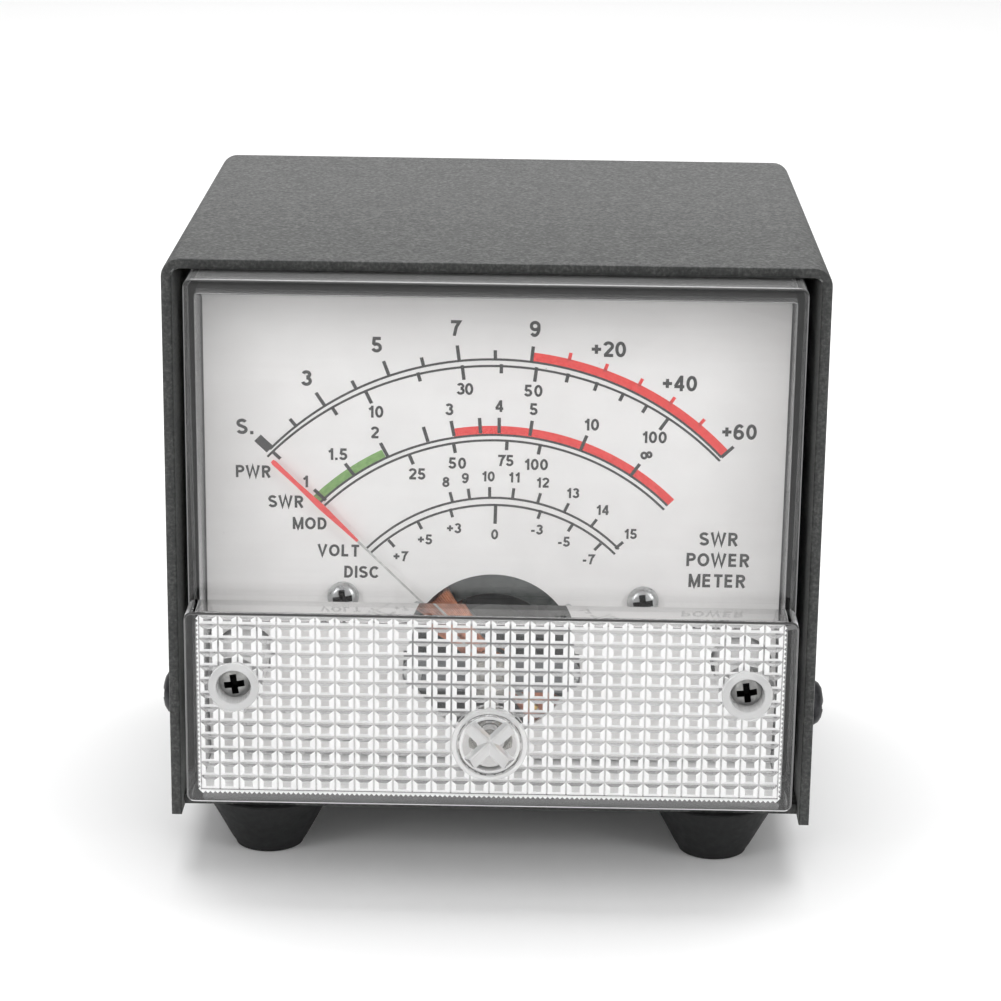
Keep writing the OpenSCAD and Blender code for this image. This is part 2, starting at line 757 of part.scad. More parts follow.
module jack_contacts() {
    color("silver") in_case() for (p = [[-2.6, 2.6], [2.6, -2.6], [2.6, 2.6]])
        at_xz(jack_x + p[0], jack_z + p[1]) slab(-0.8, 0.8, 43.4, jack_body_y, -0.2, 0.2);
}

module calibration_board() {
    color("seagreen") in_case() difference() {
        slab(board_x[0], board_x[1], board_y, board_y + board_t, board_z[0], board_z[1]);
        for (p = spacer_xz) at_xz(p[0], p[1]) rod_y(m3_hole_r, board_y - cut, board_y + board_t + cut);
    }
}

module board_spacers() {
    color("goldenrod") in_case() for (p = spacer_xz)
        translate([p[0], board_y + board_t, p[1]]) rotate([-90, 0, 0])
            hex_nut(5, panel_y - board_y - board_t, m3_r + slack);
}

module board_screws() {
    grip = 3.4;
    color("silver") in_case() for (p = spacer_xz) {
        translate([p[0], board_y, p[1]]) rotate([90, 0, 0])
            pan_screw(m3_r, board_t + grip, 2.7, 1.9);
        translate([p[0], panel_y + sheet_t, p[1]]) rotate([-90, 0, 0])
            pan_screw(m3_r, sheet_t + grip, 2.7, 1.9);
    }
}

module trimmer_body() {
    color("royalblue") in_case() at_xz(trimmer_x, trimmer_z) difference() {
        slab(-3.5, 3.5, board_y + board_t, 55.4, -3.5, 3.5);
        rod_y(rotor_r + 0.06, rotor_y - 0.06, 56);
    }
}

module trimmer_rotor() {
    color("white") in_case() at_xz(trimmer_x, trimmer_z) difference() {
        rod_y(rotor_r, rotor_y, 55.7);
        for (a = [0, 90]) rotate([0, a, 0]) slab(-1.7, 1.7, 54.9, 56, -0.35, 0.35);
    }
}

module series_resistor() {
    color("burlywood") in_case() translate([21, board_y + board_t, 26]) {
        translate([-3, 1.5, 0]) rotate([0, 90, 0]) cylinder(r = 1.15, h = 6);
        for (sx = [-1, 1]) {
            translate([sx * 4, 0, 0]) rod_y(0.28, 0, 1.78);
            translate([sx * 3.3, 1.5, 0]) rotate([0, 90, 0]) cylinder(r = 0.28, h = 1.96, center = true);
        }
    }
}

module bypass_capacitor() {
    color([0.1, 0.15, 0.3]) in_case() translate([9.5, 0, 18]) rod_y(2.5, board_y + board_t, 56.2);
}

module signal_lead() { color("white") in_case() lead(signal_route); }
module ground_lead() { color("black") in_case() lead(ground_route); }
module positive_lead() { color("red") in_case() lead(positive_route); }
module negative_lead() { color("black") in_case() lead(negative_route); }

top_cover();
chassis();
front_panel();
panel_rivets();
cover_screws();
foot_front_left();
foot_front_right();
foot_rear_left();
foot_rear_right();
foot_screws();
foot_nuts();
meter_cover();
meter_cover_screws();
meter_base();
mounting_studs();
mounting_nuts();
zero_adjuster();
zero_lever();
scale_plate();
scale_screws();
pointer_stops();
movement_frame();
movement_screws();
yoke_ring();
core_magnet();
core_posts();
front_bridge();
rear_bridge();
bridge_pillars();
bridge_screws();
front_jewel_screw();
rear_jewel_screw();
jewel_nuts();
front_hairspring();
rear_hairspring();
moving_coil();
coil_former();
front_pivot();
rear_pivot();
pointer();
counterweight();
terminal_studs();
terminal_nuts();
solder_lugs();
jack_bush();
jack_body();
jack_nut();
jack_contacts();
calibration_board();
board_spacers();
board_screws();
trimmer_body();
trimmer_rotor();
series_resistor();
bypass_capacitor();
signal_lead();
ground_lead();
positive_lead();
negative_lead();
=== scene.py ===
"""Bench meter for an amateur transceiver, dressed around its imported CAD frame.

Shapes are drawn in the case's own millimetres: x to the right, y back from the cover's front edge,
z up from the cover's lower edge. finish_piece() turns them into metres in the row frame.
"""

import json
import math

import bmesh
import bpy
from mathutils import Matrix, Vector


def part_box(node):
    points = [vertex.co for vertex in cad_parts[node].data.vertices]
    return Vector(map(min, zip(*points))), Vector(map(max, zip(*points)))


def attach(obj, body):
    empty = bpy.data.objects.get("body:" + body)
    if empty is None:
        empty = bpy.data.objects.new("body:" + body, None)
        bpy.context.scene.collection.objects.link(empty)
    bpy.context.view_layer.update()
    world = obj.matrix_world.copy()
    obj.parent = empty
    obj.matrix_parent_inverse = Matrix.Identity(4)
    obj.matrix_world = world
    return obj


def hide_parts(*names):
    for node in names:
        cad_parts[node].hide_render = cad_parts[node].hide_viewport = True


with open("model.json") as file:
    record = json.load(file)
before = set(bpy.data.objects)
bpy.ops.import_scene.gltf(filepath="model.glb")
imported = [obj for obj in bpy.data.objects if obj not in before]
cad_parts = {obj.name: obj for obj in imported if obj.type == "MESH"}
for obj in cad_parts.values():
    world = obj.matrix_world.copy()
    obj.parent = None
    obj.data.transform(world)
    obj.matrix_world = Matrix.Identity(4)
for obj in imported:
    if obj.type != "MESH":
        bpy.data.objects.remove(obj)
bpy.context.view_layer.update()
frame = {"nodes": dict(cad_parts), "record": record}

MM = 0.001
SLOT_OF_NODE = {s["node"]: s["material_slot"] for s in frame["record"]["subparts"]}
CASE_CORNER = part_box("top_cover")[0]
CASE_ORIGIN = Vector((0, CASE_CORNER.y, CASE_CORNER.z))


def case_box(node):
    """Lowest and highest corner of a CAD node in the case's millimetres."""
    low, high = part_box(node)
    return (low - CASE_ORIGIN) / MM, (high - CASE_ORIGIN) / MM


def rotation(degrees, axis):
    return Matrix.Rotation(math.radians(degrees), 4, axis)


def add_object(name, data):
    made = bpy.data.objects.new(name, data)
    bpy.context.scene.collection.objects.link(made)
    return made


# ---- sizes

COVER_HIGH = case_box("top_cover")[1]
COVER_HALF_W = COVER_HIGH.x
COVER_DEPTH = COVER_HIGH.y
COVER_TOP = COVER_HIGH.z
SHEET = 1.1
BEND_R = 2.0
LENS_LOW, LENS_HIGH = case_box("meter_cover")
LENS_HALF_W = LENS_HIGH.x
LENS_WALL = 1.1
LENS_TOP_WALL = 1.6
LENS_CORNER_R = 0.8
LENS_EDGE_R = 0.22
LENS_INSIDE_R = 0.1
WINDOW_FRONT = -4.0
WINDOW_INSIDE = -2.6
BOX_FRONT = -8.4
BOX_INSIDE = -7.0
LEDGE_Z = 26.4
ADJUST_Z = 12.2
BOSS_X = 27.1
BOSS_Z = 18.2
BOSS_SEAT = -6.3
LENS_SCREW_END = 8.6
PLATE_FRONT = case_box("scale_plate")[0].y
PIVOT_Z = 17.4
POINTER_REST = -45.9
SCALE_SCREW_X = 16.2
SCALE_SCREW_Z = 25.0
CASE_SCREW_Z = 9.8
CASE_SCREW_YS = (12.5, COVER_DEPTH - 12.5)
FOOT_X = 25.0
FOOT_YS = (8.5, COVER_DEPTH - 8.5)
FOOT_DROP = 6.3
FLOOR_Z = 0.4
PANEL_BACK = case_box("chassis")[1].y
JACK_X, JACK_Z = -16.0, 18.0
PANEL_SCREWS = ((7.0, 27.5), (25.0, 10.5))


# ---- camera, lights and floor

CAMERA_AT = (4.6 * MM, -331.6 * MM, 134.6 * MM)
CAMERA_AZIMUTH = 0.73
CAMERA_ELEVATION = 16.77
CAMERA_ROLL = 0.73
CAMERA_LENS = 107.4
LAMP_TARGET = (0, 0, 0.035)


def add_camera():
    data = bpy.data.cameras.new("camera")
    data.lens = CAMERA_LENS
    data.sensor_width = 36
    data.clip_start = 0.01
    data.clip_end = 20
    camera = add_object("camera", data)
    turn = rotation(CAMERA_AZIMUTH, "Z") @ rotation(90 - CAMERA_ELEVATION, "X") @ rotation(CAMERA_ROLL, "Z")
    camera.matrix_world = Matrix.Translation(CAMERA_AT) @ turn
    bpy.context.scene.camera = camera


def add_softbox(name, place, width, height, watts):
    data = bpy.data.lights.new(name, "AREA")
    data.shape = "RECTANGLE"
    data.size = width
    data.size_y = height
    data.energy = watts
    lamp = add_object(name, data)
    lamp.location = place
    aim = Vector(LAMP_TARGET) - lamp.location
    lamp.rotation_euler = aim.to_track_quat("-Z", "Y").to_euler()


def add_studio():
    world = bpy.data.worlds.new("studio")
    world.use_nodes = True
    background = world.node_tree.nodes["Background"]
    background.inputs["Color"].default_value = (1.0, 1.0, 1.0, 1.0)
    background.inputs["Strength"].default_value = 0.68
    bpy.context.scene.world = world
    add_softbox("overhead", (0.0, 0.15, 0.62), 0.6, 0.4, 3.0)
    add_softbox("left_box", (-0.42, -0.42, 0.30), 0.16, 0.34, 0.62)
    add_softbox("right_box", (0.44, -0.40, 0.30), 0.16, 0.34, 0.62)
    add_softbox("rear_box", (0.0, 0.85, 0.44), 1.1, 0.36, 0.9)


def add_floor():
    mesh = bpy.data.meshes.new("studio_floor")
    half = 3.0
    corners = [(-half, -half, 0), (half, -half, 0), (half, half, 0), (-half, half, 0)]
    mesh.from_pydata(corners, [], [(0, 1, 2, 3)])
    paint = Finish("studio_floor")
    colour = paint.ramp(paint.noise(3.0, 2.0), (0.3, grey(0.95)), (0.7, grey(0.97)))
    mesh.materials.append(paint.made(colour, 0.85))
    add_object("studio_floor", mesh)


# ---- materials


def linear(red, green, blue):
    """Linear colour of an 8-bit display colour."""
    return tuple(
        c / 255 / 12.92 if c <= 10 else ((c / 255 + 0.055) / 1.055) ** 2.4 for c in (red, green, blue)
    )


def grey(value):
    return (value, value, value)


class Finish:
    """A Principled material with short calls for its nodes. Scales are per metre of object space."""

    def __init__(self, name):
        self.material = bpy.data.materials.new(name)
        self.material.use_nodes = True
        self.tree = self.material.node_tree
        self.shader = self.tree.nodes["Principled BSDF"]
        self.coords = self.tree.nodes.new("ShaderNodeTexCoord").outputs["Object"]

    def feed(self, node, socket, value):
        """Gives a node's input a value, a colour or another node's output."""
        if isinstance(value, bpy.types.NodeSocket):
            self.tree.links.new(value, node.inputs[socket])
        elif node.inputs[socket].type == "RGBA":
            node.inputs[socket].default_value = (*value, 1.0)
        else:
            node.inputs[socket].default_value = value

    def node(self, kind, output, inputs, **settings):
        """Adds a node, feeds its inputs and returns one of its outputs."""
        made = self.tree.nodes.new("ShaderNode" + kind)
        for key, value in settings.items():
            setattr(made, key, value)
        for socket, value in inputs.items():
            self.feed(made, socket, value)
        return made.outputs[output]

    def axis(self, letter):
        return self.node("SeparateXYZ", letter, {"Vector": self.coords})

    def noise(self, scale, detail=3.0, roughness=0.55, stretch=(1, 1, 1)):
        vector = self.coords
        if stretch != (1, 1, 1):
            vector = self.node("Mapping", "Vector", {"Vector": vector, "Scale": stretch})
        inputs = {"Vector": vector, "Scale": scale, "Detail": detail, "Roughness": roughness}
        return self.node("TexNoise", "Fac", inputs)

    def cells(self, scale, feature="F1"):
        return self.node("TexVoronoi", "Distance", {"Vector": self.coords, "Scale": scale}, feature=feature)

    def waves(self, scale, direction):
        inputs = {"Vector": self.coords, "Scale": scale}
        return self.node("TexWave", "Fac", inputs, bands_direction=direction)

    def ramp(self, factor, *stops, steps="LINEAR"):
        """Linear colours at places along a factor."""
        colour = self.node("ValToRGB", "Color", {"Fac": factor})
        scale = colour.node.color_ramp
        scale.interpolation = steps
        while len(scale.elements) < len(stops):
            scale.elements.new(0.5)
        for element, (place, tint) in zip(scale.elements, stops):
            element.position = place
            element.color = (*tint, 1.0)
        return colour

    def tones(self, factor, dark, light, low=0.35, high=0.65):
        """Two display colours that the factor blends."""
        return self.ramp(factor, (low, linear(*dark)), (high, linear(*light)))

    def spread(self, factor, low, high, from_low=0.3, from_high=0.7):
        inputs = {"Value": factor, "From Min": from_low, "From Max": from_high, "To Min": low, "To Max": high}
        return self.node("MapRange", "Result", inputs)

    def math(self, operation, a, b):
        return self.node("Math", "Value", {0: a, 1: b}, operation=operation)

    def times(self, a, b):
        return self.math("MULTIPLY", a, b)

    def blend(self, a, b, share):
        """A share of one pattern and the rest of another."""
        return self.math("ADD", self.times(a, share), self.times(b, 1 - share))

    def mix(self, factor, a, b):
        return self.node("Mix", 2, {0: factor, 6: a, 7: b}, data_type="RGBA")

    def made(self, colour, roughness, *layers, edge=0.0, **settings):
        """Feeds the shader and returns the material. A setting is a socket's name with its value.

        Each layer is a (height, distance in mm, strength) bump. The edge is a rounding radius in mm.
        """
        if edge:
            settings["Normal"] = self.node("Bevel", "Normal", {"Radius": edge * MM}, samples=4)
        for height, distance, strength in layers:
            inputs = {"Height": height, "Distance": distance * MM, "Strength": strength}
            if "Normal" in settings:
                inputs["Normal"] = settings["Normal"]
            settings["Normal"] = self.node("Bump", "Normal", inputs)
        for socket, value in {"Base Color": colour, "Roughness": roughness, **settings}.items():
            self.feed(self.shader, socket, value)
        return self.material


def powder_coat(name, pits, middle, tips):
    """Textured paint in three tones of its grain."""
    f = Finish(name)
    grain = f.noise(2600, 3.0, 0.6)
    tone = f.blend(grain, f.noise(420, 2.0), 0.75)
    colour = f.ramp(tone, (0.34, linear(*pits)), (0.50, linear(*middle)), (0.66, linear(*tips)))
    bumps = (f.cells(1500), 0.05, 0.35), (grain, 0.09, 0.55)
    return f.made(colour, f.spread(grain, 0.60, 0.42), *bumps, **{"Specular IOR Level": 0.55})


def clear_plastic(name, tint=0.98, haze=0.0, roughness=0.0):
    """Clear styrene. Haze is the share of light that it scatters like milk instead of passing on."""
    f = Finish(name)
    colour = f.ramp(f.noise(220, 2.0), (0.35, grey(tint * 0.97)), (0.65, grey(tint)))
    wear = f.spread(f.noise(180, 3.0), roughness, roughness + 0.045, 0.45, 0.75)
    f.made(colour, wear, (f.noise(60, 1.5), 0.02, 0.25), **{"Transmission Weight": 1.0 - haze, "IOR": 1.56})
    to_lamp = f.node("LightPath", "Is Shadow Ray", {})
    through = f.node("BsdfTransparent", "BSDF", {"Color": grey(0.95)})
    either = f.node("MixShader", "Shader", {"Fac": to_lamp, 1: f.shader.outputs["BSDF"], 2: through})
    f.feed(f.tree.nodes["Material Output"], "Surface", either)
    return f.material


def plated(name, dark, light, smoothest=0.22, roughest=0.38, edge=0.06):
    """Bright metal with fine handling marks."""
    f = Finish(name)
    marks = f.noise(900, 4.0, 0.6)
    colour = f.tones(f.blend(marks, f.noise(160, 2.0), 0.5), dark, light, 0.36, 0.62)
    return f.made(colour, f.spread(marks, smoothest, roughest), (marks, 0.02, 0.25), edge=edge, Metallic=1.0)


def moulded(name, dark, light, smoothest, roughest, grain=1400):
    """Moulded plastic or rubber with a fine skin texture."""
    f = Finish(name)
    skin = f.noise(grain, 3.0, 0.6)
    colour = f.tones(f.blend(skin, f.noise(140, 2.0), 0.4), dark, light)
    return f.made(colour, f.spread(skin, smoothest, roughest), (skin, 0.03, 0.3), edge=0.08)


def printing_ink(name, dark, light):
    f = Finish(name)
    grain = f.noise(2600, 3.0, 0.6)
    colour = f.tones(grain, dark, light, 0.36, 0.62)
    return f.made(colour, f.spread(grain, 0.45, 0.6), (grain, 0.01, 0.2), **{"Specular IOR Level": 0.25})


def printed_plate(name):
    """White enamel on aluminium with painted shade that darkens it towards its top, left and right edges,
    with faint brushing and specks of dust.
    """
    f = Finish(name)
    low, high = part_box("scale_plate")
    # Painted shade: each term below darkens the enamel towards the top, left or right edge of the plate.
    shade = 1.0
    for axis, edge, reach, loss in ("Z", high.z, -11, 0.46), ("X", low.x, 12, 0.38), ("X", high.x, -13, 0.3):
        near = f.spread(f.axis(axis), 1.0, 0.0, edge, edge + reach * MM)
        fall = f.times(f.times(near, near), loss)
        shade = f.times(shade, f.math("SUBTRACT", 1.0, fall))
    brushing = f.noise(900, 3.0, 0.6, (0.06, 1.0, 1.0))
    enamel = f.tones(f.blend(brushing, f.noise(45, 2.0), 0.4), (248, 246, 245), (254, 253, 252))
    specks = f.ramp(f.cells(230), (0.012, grey(1.0)), (0.02, grey(0.0)))
    colour = f.mix(specks, f.mix(shade, grey(0.0), enamel), linear(166, 164, 162))
    return f.made(colour, f.spread(brushing, 0.42, 0.55), (brushing, 0.01, 0.15), edge=0.05)


def pointer_paint(name):
    """Aluminium pointer, dipped in red enamel beyond a third of its length."""
    f = Finish(name)
    pivot = CASE_ORIGIN + Vector((0, 0, PIVOT_Z)) * MM
    across, up = (f.math("SUBTRACT", f.axis(axis), place) for axis, place in (("X", pivot.x), ("Z", pivot.z)))
    squares = f.math("ADD", f.times(across, across), f.times(up, up))
    painted = f.math("GREATER_THAN", squares, (20.4 * MM) ** 2)
    grain = f.noise(1500, 3.0)
    enamel = f.tones(grain, (240, 36, 38), (252, 66, 62))
    metal = f.tones(grain, (176, 176, 174), (206, 206, 204))
    return f.made(f.mix(painted, metal, enamel), f.spread(grain, 0.35, 0.5), (grain, 0.01, 0.2))


def copper_wire(name):
    f = Finish(name)
    varnish = f.noise(700, 3.0)
    colour = f.tones(varnish, (150, 84, 56), (214, 138, 98))
    coat = {"Metallic": 0.75, "Coat Weight": 0.5, "Coat Roughness": 0.15}
    return f.made(colour, f.spread(varnish, 0.25, 0.42), (varnish, 0.02, 0.3), **coat)


def circuit_board(name):
    """Green lacquer over copper tracks on a coarse grid."""
    f = Finish(name)
    tracks = f.math("GREATER_THAN", f.cells(240, "DISTANCE_TO_EDGE"), 0.12)
    weave = f.math("ADD", f.waves(900, "X"), f.waves(900, "Z"))
    base = f.tones(f.spread(weave, 0.0, 1.0, 0.0, 2.0), (18, 84, 52), (26, 104, 64), 0.2, 0.8)
    bumps = (tracks, 0.03, 0.3), (weave, 0.01, 0.15)
    colour = f.mix(tracks, linear(40, 130, 78), base)
    return f.made(colour, f.spread(weave, 0.28, 0.42, 0.0, 2.0), *bumps, edge=0.05)


def resistor_enamel(name):
    """Beige enamel with five colour bands along the body."""
    f = Finish(name)
    low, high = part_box("series_resistor")
    beige, tin, brown, black = (214, 190, 148), (200, 200, 204), (150, 90, 40), (20, 20, 20)
    bands = [(0.0, tin), (0.16, beige)]
    for number, tint in enumerate((brown, black, black, (200, 60, 40), brown)):
        start = 0.26 + 0.115 * number
        bands += [(start, tint), (start + 0.05, beige)]
    bands.append((0.84, tin))
    place = f.spread(f.axis("X"), 0.0, 1.0, low.x, high.x)
    stripes = f.ramp(place, *[(at, linear(*tint)) for at, tint in bands], steps="CONSTANT")
    skin = f.noise(900, 3.0)
    colour = f.mix(f.spread(skin, 0.0, 0.25), stripes, linear(120, 100, 80))
    return f.made(colour, f.spread(skin, 0.3, 0.45), (skin, 0.02, 0.3), edge=0.15)


FINISHES = {
    powder_coat: {
        "powder_coat_black": ((28, 30, 29), (47, 48, 47), (76, 77, 75)),
        # Lighter paint for the cover's inner faces: painted light that brightens the shaded gap beside the
        # clear cover.
        "thin_coat": ((96, 98, 97), (112, 113, 112), (132, 133, 131)),
    },
    plated: {
        "zinc_plated_steel": ((168, 170, 172), (214, 215, 214)),
        "black_oxide_steel": ((38, 38, 40), (74, 74, 76), 0.34, 0.5),
        "screw_steel": ((128, 128, 128), (186, 186, 183), 0.3, 0.45),
        # Near-black metal for cross recesses: painted shade where the recess is deep.
        "screw_recess": ((14, 14, 14), (34, 34, 33), 0.5, 0.7),
        "die_cast": ((104, 106, 108), (140, 142, 144), 0.42, 0.6),
        "soft_iron": ((58, 62, 61), (92, 97, 95), 0.4, 0.58),
        "brass": ((168, 132, 66), (214, 180, 108), 0.2, 0.36),
        "spring_bronze": ((150, 96, 54), (206, 146, 92), 0.25, 0.4, 0.02),
        "aluminium_former": ((170, 172, 174), (208, 210, 212), 0.3, 0.45, 0.03),
        "polished_steel": ((150, 152, 156), (206, 208, 212), 0.12, 0.24, 0.03),
        "nickel_plate": ((160, 158, 152), (212, 210, 204), 0.16, 0.3),
    },
    clear_plastic: {
        "clear_plastic": (),
        # The next five rows are lit and shaded copies of the clear styrene: their grey tints paint shade and
        # their milky haze paints light and highlights on the faces that cover_finish gives them.
        "clear_edges": (0.6, 0.2, 0.04),
        "clear_rim": (0.16, 0.85, 0.35),
        "clear_dark": (0.03, 0.92, 0.5),
        "prism_bright": (0.99, 0.9, 0.15),
        "prism_dim": (0.7, 0.25, 0.06),
        "frosted_plastic": (0.96, 0.5, 0.12),
    },
    moulded: {
        "foot_rubber": ((8, 9, 10), (17, 18, 19), 0.6, 0.78, 1100),
        "black_phenolic": ((24, 24, 25), (40, 40, 41), 0.32, 0.46, 800),
        "blue_plastic": ((28, 70, 150), (44, 92, 182), 0.3, 0.45),
        "white_plastic": ((214, 214, 208), (236, 236, 230), 0.35, 0.5),
        "capacitor_sleeve": ((20, 28, 58), (32, 44, 84), 0.25, 0.4),
        "white_wire": ((206, 206, 200), (232, 232, 226), 0.4, 0.55),
        "black_wire": ((24, 24, 25), (38, 38, 39), 0.4, 0.55),
        "red_wire": ((160, 26, 24), (196, 40, 36), 0.4, 0.55),
    },
    printing_ink: {
        "ink_dark": ((24, 22, 22), (44, 42, 42)),
        "ink_red": ((238, 28, 26), (252, 56, 52)),
        "ink_green": ((108, 156, 72), (132, 180, 96)),
    },
    printed_plate: {"printed_plate": ()},
    pointer_paint: {"red_pointer": ()},
    copper_wire: {"copper_winding": ()},
    circuit_board: {"circuit_board": ()},
    resistor_enamel: {"resistor_enamel": ()},
}
MATERIALS = {name: make(name, *values) for make, rows in FINISHES.items() for name, values in rows.items()}


def paint_frame():
    """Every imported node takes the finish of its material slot."""
    for name, node in frame["nodes"].items():
        node.data.materials.clear()
        node.data.materials.append(MATERIALS[SLOT_OF_NODE[name]])


# ---- mesh helpers


def circle_points(radius, count, start=0.0, sweep=2 * math.pi):
    """Points round a circle as (across, up) pairs; a full turn leaves out the repeated end."""
    steps = count if abs(sweep) >= 2 * math.pi - 1e-6 else count - 1
    return [
        (radius * math.cos(start + sweep * i / steps), radius * math.sin(start + sweep * i / steps))
        for i in range(count)
    ]


def mirrored(points):
    """Points followed by their mirror images, so that the last lies across from the first."""
    return points + [(-across, *rest) for across, *rest in reversed(points)]


def rounded_outline(half_w, z0, z1, radius, steps=6):
    """Rounded rectangle in the XZ plane, counter-clockwise, centred on x = 0."""
    points = []
    corners = (
        (half_w - radius, z0 + radius, -90), (half_w - radius, z1 - radius, 0),
        (-half_w + radius, z1 - radius, 90), (-half_w + radius, z0 + radius, 180),
    )
    for cx, cz, start in corners:
        for across, up in circle_points(radius, steps + 1, math.radians(start), math.pi / 2):
            points.append((cx + across, cz + up))
    return points


def skin(bm, rings):
    """Four-sided faces between rings of equally many vertices."""
    count = len(rings[0])
    for a, b in zip(rings, rings[1:]):
        for i in range(count):
            n = (i + 1) % count
            bm.faces.new((a[i], a[n], b[n], b[i]))


def loft(rings, looped=False):
    """Closed solid through rings of equally many 3-D points, capped unless it loops back."""
    bm = bmesh.new()
    made = [[bm.verts.new(p) for p in ring] for ring in rings]
    skin(bm, made + made[:looped])
    if not looped:
        bm.faces.new(list(reversed(made[0])))
        bm.faces.new(made[-1])
    bmesh.ops.recalc_face_normals(bm, faces=bm.faces)
    return bm


def rounded_block(half_w, z0, z1, y0, y1, corner, edge, steps=5):
    """Block with rounded corners whose front edge, at y0, is rounded too."""
    rings = []
    for i in range(steps + 1):
        turn = math.pi / 2 * i / steps
        inset = edge * (1 - math.sin(turn))
        outline = rounded_outline(half_w - inset, z0 + inset, z1 - inset, max(corner - inset, 0.05))
        rings.append([(x, y0 + edge * (1 - math.cos(turn)), z) for x, z in outline])
    rings.append([(x, y1, z) for x, z in rounded_outline(half_w, z0, z1, corner)])
    return loft(rings)


def block(x0, x1, y0, y1, z0, z1):
    return loft([[(x0, y, z0), (x1, y, z0), (x1, y, z1), (x0, y, z1)] for y in (y0, y1)])


def lathe(profile, centre=(0, 0, 0), turned=Matrix.Identity(4), count=48):
    """Solid of revolution about Z of (radius, height) pairs, closed unless it ends on the axis."""
    bm = bmesh.new()
    on_axis = profile[0][0] < 1e-6
    rows = []
    for radius, height in profile:
        if radius < 1e-6:
            rows.append([bm.verts.new((0, 0, height))])
        else:
            rows.append([bm.verts.new((x, y, height)) for x, y in circle_points(radius, count)])
    pairs = list(zip(rows, rows[1:]))
    if not on_axis:
        pairs.append((rows[-1], rows[0]))
    for a, b in pairs:
        for i in range(count):
            n = (i + 1) % count
            if len(a) == 1 and len(b) == 1:
                break
            if len(a) == 1:
                bm.faces.new((a[0], b[i], b[n]))
            elif len(b) == 1:
                bm.faces.new((a[i], b[0], a[n]))
            else:
                bm.faces.new((a[i], b[i], b[n], a[n]))
    bmesh.ops.recalc_face_normals(bm, faces=bm.faces)
    return placed(bm, centre, turned)


FACING_FRONT = rotation(90, "X")
FACING_BACK = rotation(-90, "X")
FACING_LEFT = rotation(-90, "Y")
FACING_RIGHT = rotation(90, "Y")
FACING_DOWN = rotation(180, "X")


def rod_y(radius, y0, y1, x=0.0, z=0.0, count=48):
    """Cylinder along Y."""
    return lathe([(0, -y1), (radius, -y1), (radius, -y0), (0, -y0)], (x, 0, z), FACING_FRONT, count)


def join(*parts):
    """One bmesh that holds all the parts."""
    whole = bmesh.new()
    for part in parts:
        mesh = bpy.data.meshes.new("part")
        part.to_mesh(mesh)
        part.free()
        whole.from_mesh(mesh)
        bpy.data.meshes.remove(mesh)
    return whole


def mesh_object(name, bm):
    mesh = bpy.data.meshes.new(name)
    bm.to_mesh(mesh)
    bm.free()
    return add_object(name, mesh)


def combine(operation, base, others):
    """Exact solid operation between a closed mesh and each of the others in turn."""
    for other in others:
        a = mesh_object("combine_a", base)
        b = mesh_object("combine_b", other)
        modifier = a.modifiers.new("solid", "BOOLEAN")
        modifier.solver = "MANIFOLD"
        modifier.operation = operation
        modifier.object = b
        depsgraph = bpy.context.evaluated_depsgraph_get()
        result = bpy.data.meshes.new_from_object(a.evaluated_get(depsgraph))
        base = bmesh.new()
        base.from_mesh(result)
        for obj in (a, b):
            mesh = obj.data
            bpy.data.objects.remove(obj)
            bpy.data.meshes.remove(mesh)
        bpy.data.meshes.remove(result)
    return base


def union(base, *others):
    return combine("UNION", base, others)


def cut(base, *others):
    return combine("DIFFERENCE", base, others)


def placed(bm, centre, turned):
    bmesh.ops.transform(bm, matrix=Matrix.Translation(centre) @ turned, verts=bm.verts)
    return bm


def mark(bm, second):
    """The second finish goes on the faces whose middle and normal pass a test."""
    bm.normal_update()
    for face in bm.faces:
        face.material_index = int(second(face.calc_center_median(), face.normal))


def finish_piece(name, bm, body, slot, replaces=(), finishes=(), smooth_angle=35):
    """Turns a shape in case millimetres into a piece that rides a body."""
    bmesh.ops.dissolve_degenerate(bm, dist=1e-5, edges=bm.edges)
    place = Matrix.Translation(CASE_ORIGIN) @ Matrix.Scale(MM, 4)
    bmesh.ops.transform(bm, matrix=place, verts=bm.verts)
    for face in bm.faces:
        face.smooth = True
    piece = mesh_object(name, bm)
    piece.data.set_sharp_from_angle(angle=math.radians(smooth_angle))
    for finish in finishes or [slot]:
        piece.data.materials.append(MATERIALS[finish])
    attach(piece, body)
    if replaces:
        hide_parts(*replaces)


# ---- case


def fold_section(inset, steps=8):
    """Outer and inner edge of the folded cover, as (x, z) pairs from the left foot to the right."""
    def edge(half_w, top, radius):
        points = [(-half_w, inset)]
        for cx, start in ((-half_w + radius, 180), (half_w - radius, 90)):
            for across, up in circle_points(radius, steps + 1, math.radians(start), -math.pi / 2):
                points.append((cx + across, top - radius + up))
        return points + [(half_w, inset)]
    outer = edge(COVER_HALF_W - inset, COVER_TOP - inset, BEND_R - inset)
    inner = edge(COVER_HALF_W - SHEET + inset, COVER_TOP - SHEET + inset, BEND_R - SHEET + inset)
    return outer, inner


